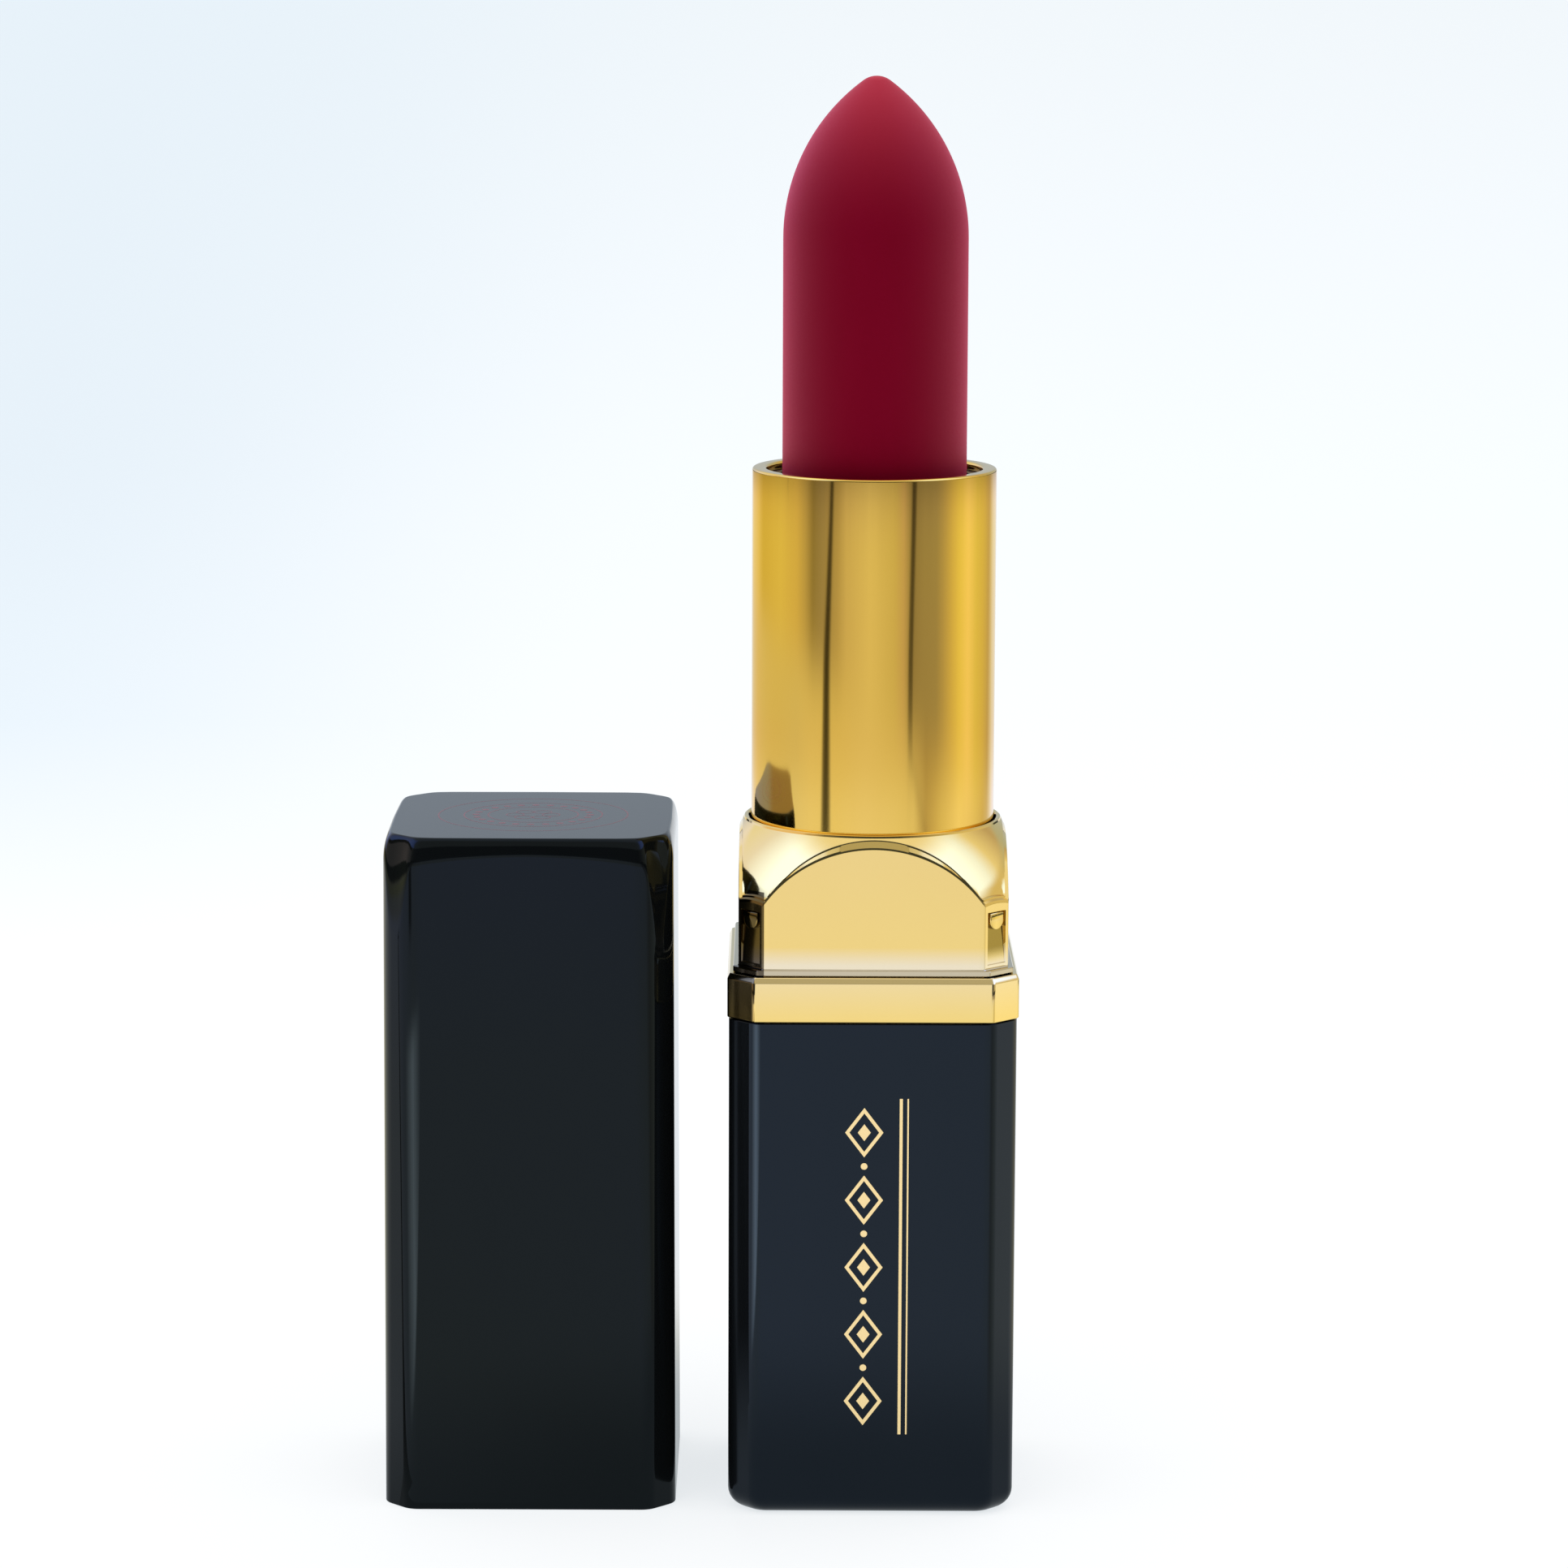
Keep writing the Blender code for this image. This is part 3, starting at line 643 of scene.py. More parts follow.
def make_snap_nubs(material):
    """Four small snap nubs in the collar's corner pockets: flat on top, round below."""
    top = POCKET_TOP - 0.06 * MM
    half_width = 0.62 * MM
    straight = 0.5 * MM
    steps = 24
    rises_and_shares = ((-0.3 * MM, 1.0), (-0.03 * MM, 1.0), (0.01 * MM, 0.96), (0.03 * MM, 0.86))
    outline = [(half_width, straight), (-half_width, straight)]
    for i in range(steps + 1):
        angle = math.pi * (1.0 + i / steps)
        outline.append((half_width * math.cos(angle), half_width * math.sin(angle)))
    for corner in range(4):
        turn = math.radians(45.0 + 90.0 * corner)
        outward = Vector((math.cos(turn), math.sin(turn), 0.0))
        along = Vector((-outward.y, outward.x, 0.0))
        loops = []
        for rise, share in rises_and_shares:
            middle = outward * (COLLAR_CORNER_FACE + rise) + Vector((0.0, 0.0, top - straight))
            loops.append([
                middle + along * (across * share) + Vector((0.0, 0.0, up * share)) for across, up in outline
            ])
        add_piece(f"collar_snap_{corner + 1}", skin(loops), material, "base", 60.0)


def make_tube(material):
    """The gold tube: thin wall, rolled rim and a short lip turned down inside."""
    low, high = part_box("tube_shell")
    outside = high.x
    inside = outside - 0.3 * MM
    lip = 7.1 * MM
    lip_foot = high.z - 0.5 * MM
    rim = 0.16 * MM
    rows = [(outside, low.z)]
    rows += [(outside - inset, high.z - rim + rise) for inset, rise in quarter(rim, 6)]
    rows += [(lip + inset, high.z - rim + rise) for inset, rise in reversed(quarter(rim, 6))]
    rows += [(lip, lip_foot), (inside, lip_foot), (inside, low.z)]
    loops = [circle(radius, z) for radius, z in rows]
    piece = add_piece("gold_tube", skin(loops, closed=True), material, "tube", 50.0)
    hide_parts("tube_shell")


def bullet_profile(radius, seat, tip):
    """(radius, height) of the wax stick: cylinder, ogive and a small round tip, all tangent."""
    ogive_steps, ball_steps = 44, 16
    top_angle = math.radians(89.0)
    swing = (radius ** 2 + OGIVE_LENGTH ** 2) / (2.0 * radius)
    nose = OGIVE_LENGTH - POINT_ABOVE_TIP
    shoulder = tip - nose
    ball = (swing ** 2 - (swing - radius) ** 2 - nose ** 2) / (2.0 * (swing - nose))
    ball_centre = tip - ball
    touch = math.asin((ball_centre - shoulder) / (swing - ball))
    rows = [(radius - 0.05 * MM, seat), (radius, seat + 0.1 * MM)]
    for i in range(ogive_steps + 1):
        turn = touch * i / ogive_steps
        rows.append((radius - swing + swing * math.cos(turn), shoulder + swing * math.sin(turn)))
    for i in range(1, ball_steps + 1):
        angle = touch + (top_angle - touch) * i / ball_steps
        rows.append((ball * math.cos(angle), ball_centre + ball * math.sin(angle)))
    return rows


def make_bullet(material):
    """The wax stick, turned about the upright axis."""
    low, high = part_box("bullet")
    loops = [circle(radius, z) for radius, z in bullet_profile(high.x, low.z, high.z)]
    piece = add_piece("wax_bullet", skin(loops), material, "carrier", 80.0, False)
    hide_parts("bullet")


def cap_rounding(x, y, half):
    """(width, depth) of the cap's rounded top edge: tight on the flats, long and slow down the corners."""
    cornerness = min(abs(x), abs(y)) / half
    flat = cornerness / CAP_FLAT_END
    widening, deepening = smooth(0.6, 0.92, cornerness), smooth(0.79, 0.9, cornerness)
    middle, along, corner = CAP_EDGE_WIDTHS
    width = middle + along * flat + corner * widening
    middle, along, corner = CAP_EDGE_DEPTHS
    depth = middle + along * flat ** 2 + corner * deepening
    return width, depth


def make_cap(material):
    """The cap: a tapering square shell with cut corners, a rounded top and an open mouth."""
    low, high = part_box("cap_shell")
    centre = box_middle(low, high)
    mouth = (high.x - low.x) / 2.0
    top = mouth - CAP_TAPER

    def ring(half, inset, softness, z):
        return case_row(half, inset, softness, z, centre=centre, flat_steps=CAP_FLAT_STEPS)

    loops = []
    for inset, rise in reversed(quarter(CAP_LIP_ROUND, 3)):
        loops.append(ring(mouth, inset, CAP_CORNER_SOFTNESS, low.z + CAP_LIP_ROUND - rise))
    foot = loops[-1]
    crown = ring(top, 0.0, CAP_CROWN_SOFTNESS, high.z)
    for step in range(CAP_CROWN_STEPS + 1):
        angle = math.radians(90.0 * step / CAP_CROWN_STEPS)
        loop = []
        for i, (x, y, z) in enumerate(crown):
            before, after = crown[i - 1], crown[(i + 1) % len(crown)]
            run = Vector((after[0] - before[0], after[1] - before[1], 0.0)).normalized()
            width, depth = cap_rounding(x - centre[0], y - centre[1], top)
            height = z - depth * (1.0 - math.sin(angle))
            share = (height - low.z) / (z - low.z)
            inset = width * (1.0 - math.cos(angle))
            loop.append((
                foot[i][0] + (x - foot[i][0]) * share - run.y * inset,
                foot[i][1] + (y - foot[i][1]) * share + run.x * inset,
                height,
            ))
        loops.append(loop)
    inner_mouth = ring(mouth, CAP_WALL, CAP_CORNER_SOFTNESS / 2.0, low.z)
    inner_roof = ring(top, CAP_WALL, CAP_CORNER_SOFTNESS / 2.0, high.z - CAP_ROOF)
    piece = add_piece("cap_body", skin([inner_roof, inner_mouth] + loops), material, "cap")
    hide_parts("cap_shell")


# ---------------- generic decoration


def merge(builders):
    joined = bmesh.new()
    for builder in builders:
        lookup = {vertex: joined.verts.new(vertex.co) for vertex in builder.verts}
        for face in builder.faces:
            joined.faces.new([lookup[vertex] for vertex in face.verts])
        builder.free()
    return joined


def upright_row(points, y):
    """A loop in an upright plane that faces forward, from (x, z) points."""
    return [(x, y, z) for x, z in points]


def upright_plate(points, front):
    """A thin plate that stands against the front face, from (x, z) points."""
    return skin([upright_row(points, front + FOIL_DEPTH), upright_row(points, front - FOIL_DEPTH)])


def upright_frame(outer, inner, front):
    """A thin frame that stands against the front face, between two loops of (x, z) points."""
    back = [upright_row(points, front + FOIL_DEPTH) for points in (outer, inner)]
    face = [upright_row(points, front - FOIL_DEPTH) for points in (outer, inner)]
    return skin([back[0], face[0], face[1], back[1]], closed=True)


def make_front_ornament(material):
    """A plain upright ornament in foil: two fine rules beside a chain of lozenges and dots."""
    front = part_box("base_shell")[0].y
    bottom, top = 5.6 * MM, 28.2 * MM
    rules = ((1.75 * MM, 0.2 * MM), (2.25 * MM, 0.1 * MM))
    plates = []
    for x, width in rules:
        plates.append(upright_plate([(x, bottom), (x + width, bottom), (x + width, top), (x, top)], front))

    links = 5
    x = -0.55 * MM
    tall, wide, line = 1.65 * MM, 1.25 * MM, 0.22 * MM
    hole_share = 1.0 - line * math.hypot(tall, wide) / (tall * wide)
    core_share = 0.34
    dot_radius, dot_steps = 0.22 * MM, 20
    pitch = (top - bottom) / links

    def lozenge(z, share):
        return [(x, z - tall * share), (x + wide * share, z), (x, z + tall * share), (x - wide * share, z)]

    for i in range(links):
        z = bottom + pitch * (i + 0.5)
        plates.append(upright_frame(lozenge(z, 1.0), lozenge(z, hole_share), front))
        plates.append(upright_plate(lozenge(z, core_share), front))
        if i:
            dot = circle(dot_radius, 0.0, dot_steps, centre=(x, z - pitch / 2.0))
            plates.append(upright_plate([(across, up) for across, up, _ in dot], front))
    add_piece("front_ornament", merge(plates), material, "base", 30.0, False)


def flat_ring(outer, inner, steps, centre, z):
    """A thin flat ring, lying level."""
    rows = ((outer, z - FOIL_DEPTH), (outer, z), (inner, z), (inner, z - FOIL_DEPTH))
    return skin([circle(radius, height, steps, centre) for radius, height in rows], closed=True)


def make_cap_rings(material):
    """A faint round device of plain rings and dots on the cap's roof."""
    low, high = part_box("cap_shell")
    centre = box_middle(low, high)
    z = high.z + 0.004 * MM
    line = 0.09 * MM
    radii = (3.0 * MM, 4.6 * MM, 6.3 * MM)
    dots, dot_circle, dot_radius, dot_steps = 24, 3.8 * MM, 0.26 * MM, 14
    petals, petal_circle, petal_outer, petal_inner, petal_steps = 6, 1.2 * MM, 0.62 * MM, 0.54 * MM, 32
    rings = [flat_ring(radius + line / 2.0, radius - line / 2.0, 96, centre, z) for radius in radii]
    for x, y, _ in circle(dot_circle, z, dots, centre):
        rings.append(skin([circle(dot_radius, height, dot_steps, (x, y)) for height in (z - FOIL_DEPTH, z)]))
    for x, y, _ in circle(petal_circle, z, petals, centre):
        rings.append(flat_ring(petal_outer, petal_inner, petal_steps, (x, y), z))
    add_piece("cap_roof_rings", merge(rings), material, "cap", 30.0, False)


# ---------------- carried-over CAD nodes


def dress_nodes(nodes):
    """Gives every CAD node that stays its own procedural material."""
    looks = {
        "base_core": plastic_material("core_plastic", (0.03, 0.03, 0.032), 0.45),
        "base_weight": zinc_material(),
        "shade_label": paper_material(),
        "guide_tube": plastic_material("guide_black", (0.05, 0.048, 0.046), 0.38),
        "friction_ring": plastic_material("ring_rubber", (0.1, 0.1, 0.105), 0.75, 4500.0),
        "spiral_sleeve": plastic_material("spiral_natural", (0.62, 0.6, 0.54), 0.42),
        "bullet_cup": plastic_material("cup_natural", (0.2, 0.14, 0.06), 0.38),
        "cap_liner": plastic_material("liner_black", (0.035, 0.035, 0.037), 0.5),
    }
    for name, material in looks.items():
        mesh = nodes[name].data
        mesh.materials.clear()
        mesh.materials.append(material)


# ---------------- studio


CAMERA_PLACE = (-5.868 * MM, -350.14 * MM, 105.65 * MM)
CAMERA_PITCH = 9.445
CAMERA_ROLL = 0.205
CAMERA_LENS = 122.94
SOFT_LIGHT_PLACE = (-0.45, -0.6, 0.8)
FLOOR_DIFFUSE = (0.27, 0.25, 0.235)
FLOOR_GLOW = (0.72, 0.755, 0.78)

# The backdrop at its left and right sides: colours by height in the view, and how the two sides cross over.
LEFT_BACKDROP = (
    (0.0, (1.0, 1.0, 1.0)), (0.38, (0.99, 0.995, 1.0)), (0.54, (0.815, 0.885, 0.945)),
    (0.7, (0.785, 0.855, 0.915)), (1.0, (0.79, 0.86, 0.915)),
)
RIGHT_BACKDROP = (
    (0.0, (1.0, 1.0, 1.0)), (0.38, (1.0, 1.0, 1.0)), (0.54, (0.96, 0.975, 0.99)),
    (0.7, (0.93, 0.96, 0.985)), (1.0, (0.87, 0.905, 0.93)),
)
BACKDROP_CROSSING = (-0.22, 0.3)
BACKDROP_LEAN = -0.3
BACKDROP_HAZE = 0.16

# Painted reflection: the floor glows in these colours for glossy rays only, so the polish mirrors painted light
# bands. Colours by heading, far off and near by, and by distance in metres.
FAR_SIDES = (
    (-180, (1.1, 1.05, 0.9)), (-160, (1.07, 0.96, 0.6)), (-142, (1.06, 0.955, 0.5)),
    (-129, (0.88, 0.79, 0.28)), (-99, (0.99, 0.95, 0.53)), (-78, (0.9, 0.82, 0.54)),
    (-68, (0.67, 0.62, 0.5)), (-60, (0.37, 0.345, 0.28)), (-51, (0.44, 0.42, 0.48)),
    (-35, (0.63, 0.59, 0.57)), (-27, (0.83, 0.8, 0.81)), (-4, (1.0, 1.0, 1.0)), (19, (0.84, 0.83, 0.72)),
    (27, (0.77, 0.68, 0.74)), (32, (0.53, 0.5, 0.5)), (37, (0.4, 0.38, 0.42)), (46, (0.45, 0.44, 0.48)),
    (60, (0.47, 0.46, 0.5)), (68, (0.64, 0.6, 0.54)), (78, (0.9, 0.84, 0.55)), (88, (1.13, 1.1, 0.6)),
    (99, (1.28, 1.21, 0.95)), (112, (1.02, 1.0, 0.51)), (124, (0.93, 0.86, 0.4)),
    (137, (0.74, 0.645, 0.375)), (150, (1.05, 1.1, 1.15)), (180, (1.1, 1.05, 0.9)),
)
NEAR_SIDES = (
    (-180, (1.0, 1.0, 1.0)), (-142, (1.0, 0.92, 0.6)), (-127, (0.95, 0.93, 0.7)), (-78, (0.92, 0.94, 0.95)),
    (-60, (1.0, 1.0, 0.95)), (-35, (0.98, 0.97, 0.85)), (-8, (1.0, 1.0, 1.0)), (27, (0.95, 0.95, 0.85)),
    (38, (0.92, 0.91, 0.8)), (50, (0.62, 0.56, 0.42)), (60, (0.76, 0.7, 0.5)), (68, (0.89, 0.85, 0.62)),
    (88, (1.1, 1.07, 0.9)), (112, (0.9, 0.84, 0.6)), (127, (0.7, 0.6, 0.35)), (150, (0.95, 0.98, 0.95)),
    (180, (1.0, 1.0, 1.0)),
)
FLOOR_REACH = (
    (0.15, (1.0, 1.02, 1.1)), (0.25, (0.95, 0.985, 1.27)), (0.281, (0.945, 0.98, 1.33)),
    (0.305, (0.865, 0.86, 0.97)), (0.33, (0.815, 0.78, 0.83)), (0.36, (0.81, 0.8, 0.81)),
    (0.45, (0.83, 0.82, 0.83)), (0.55, (0.855, 0.865, 0.83)), (0.6, (0.87, 0.84, 0.95)),
    (0.63, (0.68, 0.66, 0.82)), (0.655, (0.45, 0.44, 0.5)), (0.71, (0.07, 0.085, 0.11)),
)
NEAR_EDGE = (0.315, 0.405)
NEAR_SKEW = 0.00067
# Painted shade close round the pieces' feet, and a painted bluish tone straight behind, both in the floor's
# glossy glow.
FOOT_REACH = (0.02, 0.06)
FOOT_SHADE_COLOUR = (0.5, 0.54, 0.56)
BACK_HEADING = (160.0, 172.0)
BACK_COLOUR = (0.9, 0.94, 0.98)

# Painted dark lines in the floor's glossy glow, which the tube mirrors: headings and widths in degrees, places
# down from the lines' top height as shares of their span.
# A course, width or depth in brackets is (gain down the tube, value at the lines' top height).
TUBE_RADIUS = 8.0 * MM
PAINTED_LINES_TOP = 68.0 * MM
PAINTED_LINES_SPAN = 22.2 * MM
PAINTED_LINES_DRIFT_END = 0.5
PAINTED_LINES_END = (1.1, 1.2)
PAINTED_LINES_LEAST = 1.5
LEFT_PAINTED_LINE_COURSE = (-9.5, -40.6)
LEFT_PAINTED_LINE_WIDTH = (3.2, 2.2)
LEFT_PAINTED_LINE_DEPTH = 0.92
RIGHT_PAINTED_LINE_COURSE = (-6.0, 36.9)
RIGHT_PAINTED_LINE_BEND = 0.77
RIGHT_PAINTED_LINE_SWING = 61.0
RIGHT_PAINTED_LINE_WIDTH = 2.8
RIGHT_PAINTED_LINE_DEPTH = (-0.5, 0.8)
RIGHT_PAINTED_LINE_FADING = (0.62, 0.82)

# A painted highlight on the left, and a painted dark strip that runs off to the left along the cap's front,
# both in the floor's glossy glow.
# The strip's far edge is (slope, y at the axis), its near edge (gain in front of the cap, y beyond the cap).
GLEAM_REACH = (0.17, 0.195)
GLEAM_LEFT = (0.04, 0.048)
GLEAM_HEADING = -40.0
GLEAM_WIDTH = 24.0
GLEAM_COLOUR = (4.5, 4.5, 4.4)
STRIP_FAR_EDGE = (-0.012, -7.9 * MM)
STRIP_NEAR_EDGE = (3.7 * MM, -13.5 * MM)
STRIP_STEP_X = -34.0 * MM
STRIP_RIGHT_END = -11.0 * MM
STRIP_RING = (0.26, 0.64)
PAINTED_STRIP_COLOUR = (0.035, 0.032, 0.03)

# The world as the polish mirrors it: colours by heading, low down and halfway up, and where they change.
LOW_WORLD = (
    (-180, (0.5, 0.57, 0.65)), (-168, (0.55, 0.63, 0.75)), (-145, (0.92, 1.0, 1.6)),
    (-120, (0.92, 1.0, 1.7)), (-110, (0.9, 0.72, 0.62)), (-65, (0.9, 0.72, 0.62)), (-45, (0.2, 0.19, 0.17)),
    (-25, (0.05, 0.06, 0.08)), (25, (0.05, 0.06, 0.08)), (45, (0.3, 0.28, 0.24)), (75, (0.72, 0.66, 0.5)),
    (110, (0.75, 0.68, 0.5)), (140, (0.5, 0.57, 0.65)), (180, (0.5, 0.57, 0.65)),
)
MID_WORLD = (
    (-180, (0.7, 0.75, 0.8)), (-140, (0.9, 0.95, 1.1)), (-118, (0.92, 1.02, 1.8)), (-101, (1.1, 1.4, 3.0)),
    (-88, (1.25, 1.7, 3.9)), (-68, (1.25, 1.7, 4.0)), (-52, (1.0, 1.3, 3.2)), (-42, (0.62, 0.66, 0.8)),
    (-25, (0.5, 0.49, 0.45)), (25, (0.5, 0.49, 0.45)), (42, (0.62, 0.66, 0.8)), (52, (1.0, 1.3, 3.2)),
    (68, (1.25, 1.7, 4.0)), (88, (1.2, 1.6, 3.5)), (99, (1.05, 1.36, 2.8)), (113, (0.9, 0.88, 0.8)),
    (135, (0.56, 0.48, 0.4)), (160, (0.6, 0.62, 0.64)), (180, (0.7, 0.75, 0.8)),
)
MID_RISE = (0.33, 0.41)
OVERHEAD = (0.95, 0.96, 1.05)
OVERHEAD_RISE = (0.72, 0.92)
SCREEN_HEADING = -85.0
SCREEN_EDGE = (22.0, 30.0)
SCREEN_FOOT = (0.22, 0.27)
SCREEN_COLOUR = (0.09, 0.08, 0.06)
ROOM_RISE = (-0.1, 0.9)
ROOM_BELOW = (0.8, 0.82, 0.85)
ROOM_ABOVE = (1.2, 1.2, 1.2)


def heading_of(graph, x, y):
    """Heading in degrees round the upright axis: 0 towards the camera, positive to the right."""
    return graph.product(graph.maths("ARCTAN2", x, graph.product(y, -1.0)), 180.0 / math.pi)


def round_ramp(graph, heading, stops):
    turn = graph.maths("MULTIPLY_ADD", heading, 1.0 / 360.0, 0.5)
    return graph.ramp(turn, [(0.5 + degrees / 360.0, colour) for degrees, colour in stops])


def dark_line(graph, heading, middle, width, depth):
    """1 away from a heading and down to 1 - depth on it."""
    away = graph.maths("ABSOLUTE", graph.maths("SUBTRACT", heading, middle))
    clear = graph.maths("POWER", graph.maths("DIVIDE", away, width, clamp=True), 3.0)
    return graph.opposite(graph.product(graph.opposite(clear), depth))


def pale_gradient(graph):
    """The background as the camera sees it: pale blue high on the left, white low down."""
    window = graph.add("ShaderNodeTexCoord").outputs["Window"]
    across, up, _ = graph.split(window)
    left = graph.ramp(up, LEFT_BACKDROP)
    right = graph.ramp(up, RIGHT_BACKDROP)
    painted_paleness = graph.noise(window, 1.6, detail=2.0)
    slope = graph.maths("MULTIPLY_ADD", up, BACKDROP_LEAN, across)
    slope = graph.maths("SUBTRACT", slope, BACKDROP_HAZE / 2.0)
    wave = graph.maths("MULTIPLY_ADD", painted_paleness, BACKDROP_HAZE, slope)
    return graph.mix(graph.step(wave, *BACKDROP_CROSSING), left, right)


def make_world():
    """The studio: what the polish reflects, what lights the set, and what the camera sees."""
    world = bpy.data.worlds.new("studio")
    bpy.context.scene.world = world
    world.use_nodes = True
    world.node_tree.nodes.clear()
    graph = Graph(world.node_tree)
    x, y, rise = graph.split(graph.add("ShaderNodeTexCoord").outputs["Generated"])
    heading = heading_of(graph, x, y)
    off_left = graph.maths("ABSOLUTE", graph.maths("SUBTRACT", heading, SCREEN_HEADING))
    screen = graph.product(graph.opposite(graph.step(off_left, *SCREEN_EDGE)), graph.step(rise, *SCREEN_FOOT))
    low = graph.mix(screen, round_ramp(graph, heading, LOW_WORLD), SCREEN_COLOUR)
    glossy = graph.mix(graph.step(rise, *MID_RISE), low, round_ramp(graph, heading, MID_WORLD))
    glossy = graph.mix(graph.step(rise, *OVERHEAD_RISE), glossy, OVERHEAD)
    room = graph.mix(graph.step(rise, *ROOM_RISE), ROOM_BELOW, ROOM_ABOVE)
    path = graph.add("ShaderNodeLightPath")
    colour = graph.mix(path.outputs["Is Glossy Ray"], room, glossy)
    colour = graph.mix(path.outputs["Is Camera Ray"], colour, pale_gradient(graph))
    background = graph.add("ShaderNodeBackground")
    graph.feed(background, "Color", colour)
    leave = graph.add("ShaderNodeOutputWorld")
    graph.feed(leave, "Surface", background.outputs["Background"])


def floor_tone(graph, heading, reach):
    """Painted light bands in the floor's glossy glow, by distance from the upright axis and by heading."""
    first, last = FLOOR_REACH[0][0], FLOOR_REACH[-1][0]
    place = graph.maths("DIVIDE", graph.maths("SUBTRACT", reach, first), last - first, clamp=True)
    tone = graph.ramp(place, [((far - first) / (last - first), colour) for far, colour in FLOOR_REACH])
    skewed = graph.maths("MULTIPLY_ADD", heading, NEAR_SKEW, reach)
    near = graph.opposite(graph.step(skewed, *NEAR_EDGE))
    sides = graph.mix(near, round_ramp(graph, heading, FAR_SIDES), round_ramp(graph, heading, NEAR_SIDES))
    return graph.mix(1.0, tone, sides, "MULTIPLY")


def painted_tube_lines(graph, heading, reach):
    """Two thin painted dark lines in the floor's glossy glow, which the tube mirrors as dark upright lines: 1
    away from them, near 0 on them.

    Their course follows how far down the tube a spot is mirrored: 0 near its rim, 1 by the collar.
    """
    _, camera_y, camera_z = CAMERA_PLACE
    beyond = graph.maths("SUBTRACT", reach, TUBE_RADIUS)
    whole = graph.maths("SUBTRACT", beyond, camera_y + TUBE_RADIUS)
    height = graph.maths("DIVIDE", graph.product(beyond, camera_z), whole)
    down = graph.maths("DIVIDE", graph.maths("SUBTRACT", PAINTED_LINES_TOP, height), PAINTED_LINES_SPAN)
    drifted = graph.maths("MINIMUM", down, PAINTED_LINES_DRIFT_END)
    swung = graph.maths("MAXIMUM", graph.maths("SUBTRACT", down, RIGHT_PAINTED_LINE_BEND), 0.0)
    left = graph.maths("MULTIPLY_ADD", drifted, *LEFT_PAINTED_LINE_COURSE)
    right = graph.maths("MULTIPLY_ADD", drifted, *RIGHT_PAINTED_LINE_COURSE)
    right = graph.maths("MULTIPLY_ADD", swung, RIGHT_PAINTED_LINE_SWING, right)
    width = graph.maths("MAXIMUM", graph.maths("MULTIPLY_ADD", down, *LEFT_PAINTED_LINE_WIDTH), PAINTED_LINES_LEAST)
    fading = graph.maths("MULTIPLY_ADD", graph.step(down, *RIGHT_PAINTED_LINE_FADING), *RIGHT_PAINTED_LINE_DEPTH)
    ends = graph.opposite(graph.step(down, *PAINTED_LINES_END))
    return graph.product(
        dark_line(graph, heading, left, width, graph.product(ends, LEFT_PAINTED_LINE_DEPTH)),
        dark_line(graph, heading, right, RIGHT_PAINTED_LINE_WIDTH, graph.product(ends, fading)),
    )


def corner_gleam(graph, heading, reach, x):
    """1 on a painted highlight in the floor's glossy glow, close by on the left, and 0 elsewhere."""
    close = graph.opposite(graph.step(reach, *GLEAM_REACH))
    left = graph.step(graph.product(x, -1.0), *GLEAM_LEFT)
    off = graph.maths("ABSOLUTE", graph.maths("SUBTRACT", heading, GLEAM_HEADING))
    return graph.product(close, left, graph.opposite(graph.maths("DIVIDE", off, GLEAM_WIDTH, clamp=True)))


def painted_dark_strip(graph, reach, x, y):
    """1 on the painted dark strip, which is wider beyond the cap and spares the ring that the tube mirrors."""
    far_edge = graph.maths("MULTIPLY_ADD", x, *STRIP_FAR_EDGE)
    near_edge = graph.maths("MULTIPLY_ADD", graph.maths("GREATER_THAN", x, STRIP_STEP_X), *STRIP_NEAR_EDGE)
    ring_inner, ring_outer = STRIP_RING
    in_ring = graph.product(
        graph.maths("GREATER_THAN", reach, ring_inner), graph.maths("LESS_THAN", reach, ring_outer)
    )
    return graph.product(
        graph.maths("LESS_THAN", y, far_edge),
        graph.maths("GREATER_THAN", y, near_edge),
        graph.maths("LESS_THAN", x, STRIP_RIGHT_END),
        graph.opposite(in_ring),
    )


def painted_floor_reflection(graph):
    """What the polish sees in the floor, all painted reflection: painted light bands, painted dark lines, a
    painted highlight and a painted dark strip.
    """
    x, y, _ = graph.split(graph.add("ShaderNodeNewGeometry").outputs["Position"])
    heading = heading_of(graph, x, y)
    reach = graph.maths("SQRT", graph.maths("ADD", graph.product(x, x), graph.product(y, y)))
    seen = graph.mix(1.0, floor_tone(graph, heading, reach), painted_tube_lines(graph, heading, reach), "MULTIPLY")
    # Painted highlight, then the painted dark strip.
    seen = graph.mix(corner_gleam(graph, heading, reach, x), seen, GLEAM_COLOUR)
    seen = graph.mix(painted_dark_strip(graph, reach, x, y), seen, PAINTED_STRIP_COLOUR)
    # Painted shade round the pieces' feet, then the painted tone behind.
    seen = graph.mix(graph.opposite(graph.step(reach, *FOOT_REACH)), seen, FOOT_SHADE_COLOUR)
    return graph.mix(graph.step(graph.maths("ABSOLUTE", heading), *BACK_HEADING), seen, BACK_COLOUR)


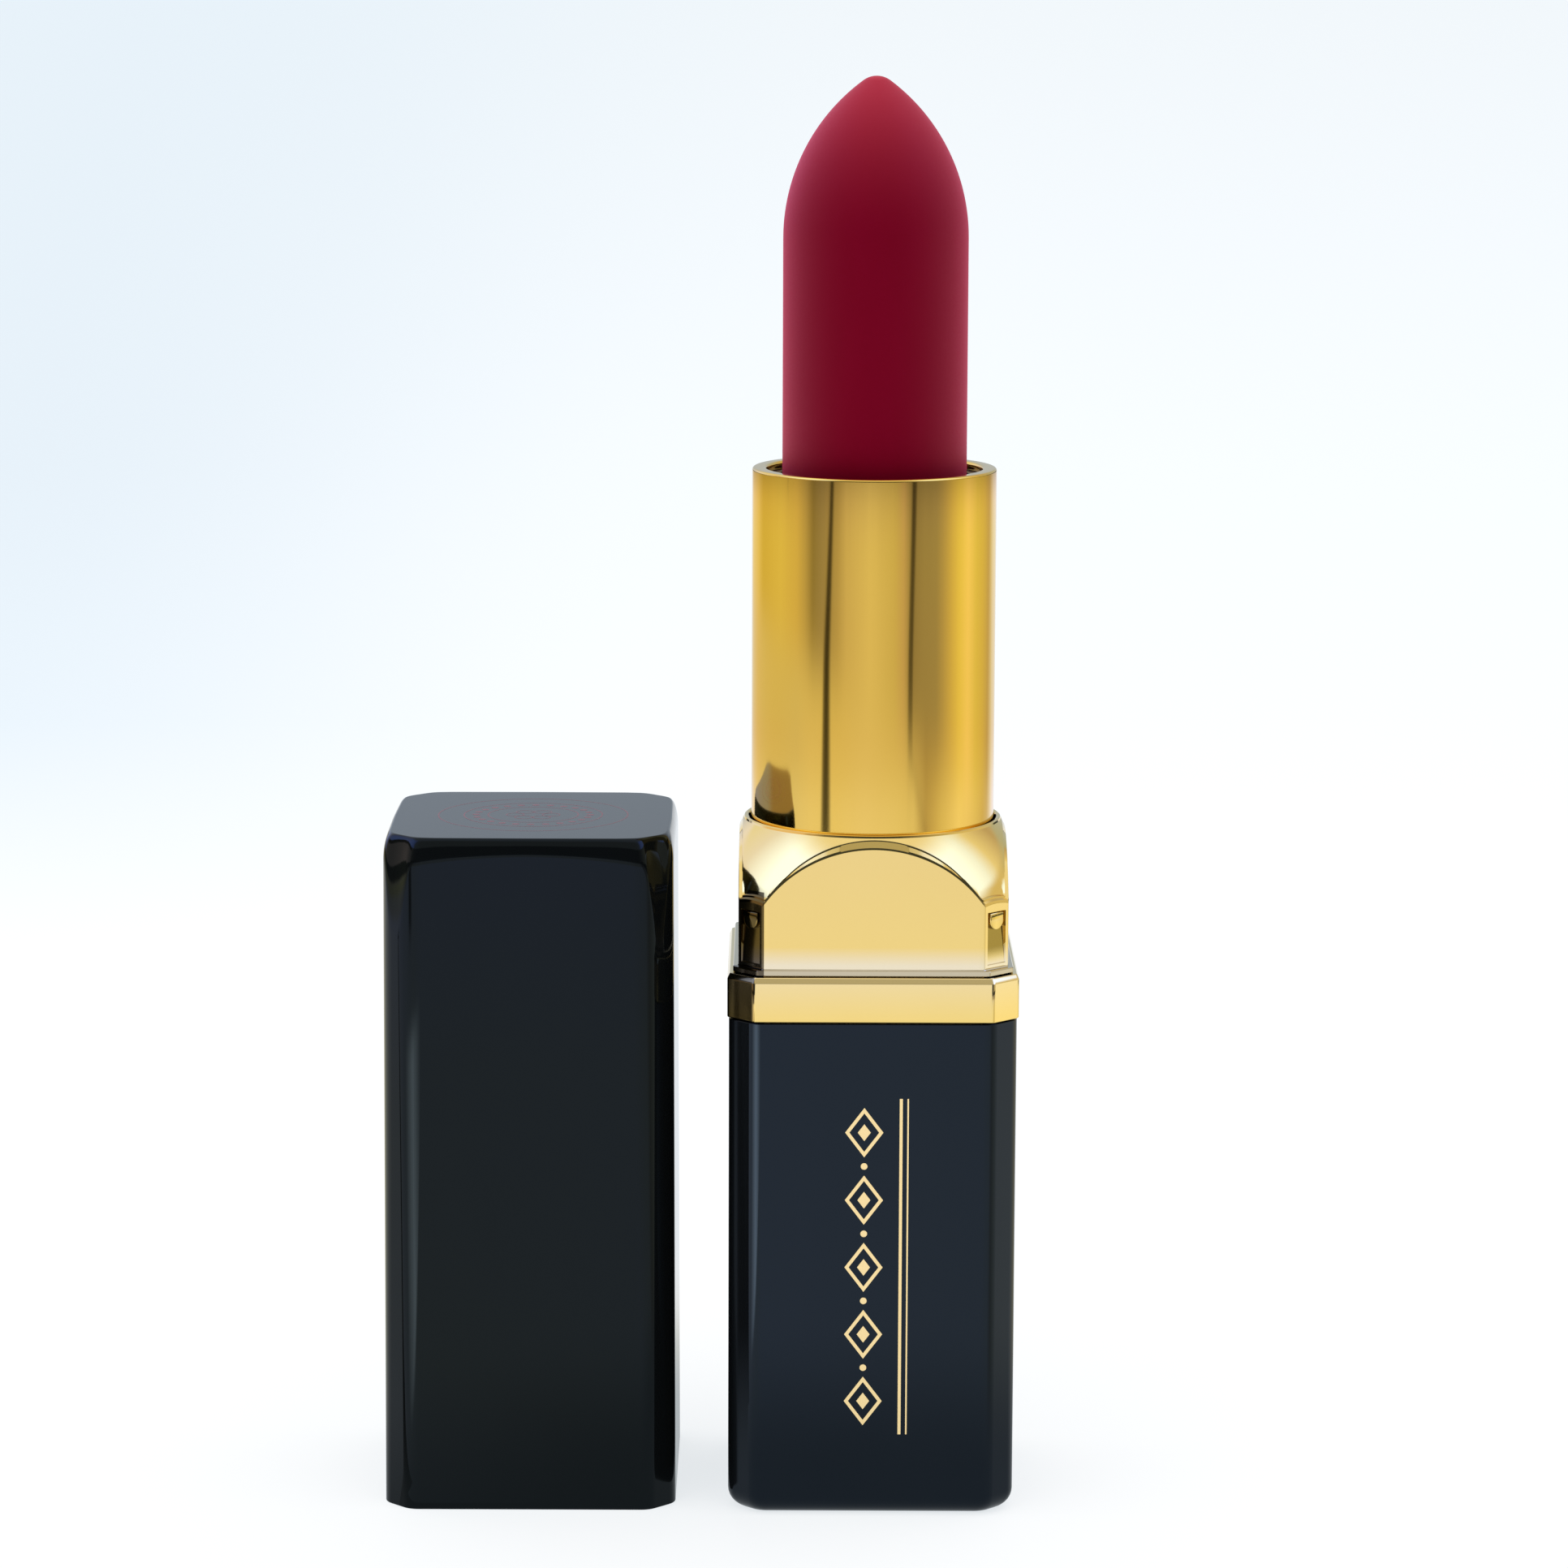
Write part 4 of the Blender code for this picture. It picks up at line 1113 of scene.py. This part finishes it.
def make_floor():
    """A wide pale floor. For glossy rays it glows with a painted reflection of the studio's soft bands, so the
    polished pieces mirror painted light.
    """
    builder = bmesh.new()
    bmesh.ops.create_circle(builder, cap_ends=True, segments=96, radius=12.0)
    mesh = bpy.data.meshes.new("studio_floor")
    builder.to_mesh(mesh)
    builder.free()
    floor = bpy.data.objects.new("studio_floor", mesh)
    bpy.context.scene.collection.objects.link(floor)
    material = bpy.data.materials.new("studio_floor")
    material.use_nodes = True
    material.node_tree.nodes.clear()
    mesh.materials.append(material)
    graph = Graph(material.node_tree)
    backdrop = pale_gradient(graph)
    diffuse = graph.add("ShaderNodeBsdfDiffuse")
    graph.feed(diffuse, "Color", graph.mix(1.0, backdrop, FLOOR_DIFFUSE, "MULTIPLY"))
    glow = graph.add("ShaderNodeEmission")
    graph.feed(glow, "Color", graph.mix(1.0, backdrop, FLOOR_GLOW, "MULTIPLY"))
    seen = graph.add("ShaderNodeAddShader")
    graph.feed(seen, 0, diffuse.outputs[0])
    graph.feed(seen, 1, glow.outputs[0])
    # Painted reflection: an emission that only glossy rays see.
    painted_bands = graph.add("ShaderNodeEmission")
    graph.feed(painted_bands, "Color", painted_floor_reflection(graph))
    path = graph.add("ShaderNodeLightPath")
    choose = graph.add("ShaderNodeMixShader")
    graph.feed(choose, 0, path.outputs["Is Glossy Ray"])
    graph.feed(choose, 1, seen.outputs[0])
    graph.feed(choose, 2, painted_bands.outputs[0])
    leave = graph.add("ShaderNodeOutputMaterial")
    graph.feed(leave, "Surface", choose.outputs[0])


def make_camera():
    """A long lens, a little above and to the left, looking slightly down."""
    data = bpy.data.cameras.new("camera")
    data.sensor_width = 36.0
    data.lens = CAMERA_LENS
    data.clip_start = 0.01
    data.clip_end = 50.0
    camera = bpy.data.objects.new("camera", data)
    tilt = Matrix.Rotation(math.radians(90.0 - CAMERA_PITCH), 4, "X")
    roll = Matrix.Rotation(math.radians(CAMERA_ROLL), 4, "Z")
    camera.matrix_world = Matrix.Translation(CAMERA_PLACE) @ tilt @ roll
    bpy.context.scene.collection.objects.link(camera)
    bpy.context.scene.camera = camera


def make_soft_light():
    """One broad soft lamp from the upper left. Polished pieces don't mirror it."""
    light = bpy.data.lights.new("soft_light", "AREA")
    light.size = 0.7
    light.energy = 1.0
    lamp = bpy.data.objects.new("soft_light", light)
    lamp.location = SOFT_LIGHT_PLACE
    lamp.rotation_euler = (-Vector(SOFT_LIGHT_PLACE)).to_track_quat("-Z", "Y").to_euler()
    lamp.visible_glossy = False
    lamp.visible_camera = False
    bpy.context.scene.collection.objects.link(lamp)


bpy.context.scene.view_settings.view_transform = "Standard"
base_lacquer = lacquer_material("base_lacquer", (0.0025, 0.003, 0.0036), (0.52, 0.72, 1.0), 0.345, 0.06)
cap_lacquer = lacquer_material("cap_lacquer_coat", (0.0021, 0.0025, 0.0026), (0.62, 0.8, 0.92), 0.205, 0.05)
collar_gold = gold_material(
    "collar_gold_plate", (0.905, 0.665, 0.215), (0.885, 0.64, 0.195), 0.07,
    painted_paleness=(36.9 * MM, 38.1 * MM, 0.8), painted_shade=collar_painted_shade,
)
band_gold = gold_material(
    "band_gold_plate", (0.92, 0.68, 0.225), (0.90, 0.66, 0.205), 0.08,
    painted_paleness=(36.6 * MM, 33.4 * MM, 0.35), painted_shade=band_painted_shade,
)
tube_gold = gold_material(
    "tube_gold_plate", (0.88, 0.58, 0.115), (0.86, 0.56, 0.1), 0.07, streak=(1.0, 1.0, 0.02)
)
make_base(base_lacquer)
make_band(band_gold)
make_collar(collar_gold)
make_snap_nubs(collar_gold)
make_tube(tube_gold)
make_bullet(wax_material())
make_cap(cap_lacquer)
make_front_ornament(foil_material("ornament_foil", (0.93, 0.70, 0.34), 0.3))
make_cap_rings(foil_material("ring_print", (0.2, 0.07, 0.09), 0.4))
dress_nodes(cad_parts)
make_world()
make_floor()
make_soft_light()
make_camera()
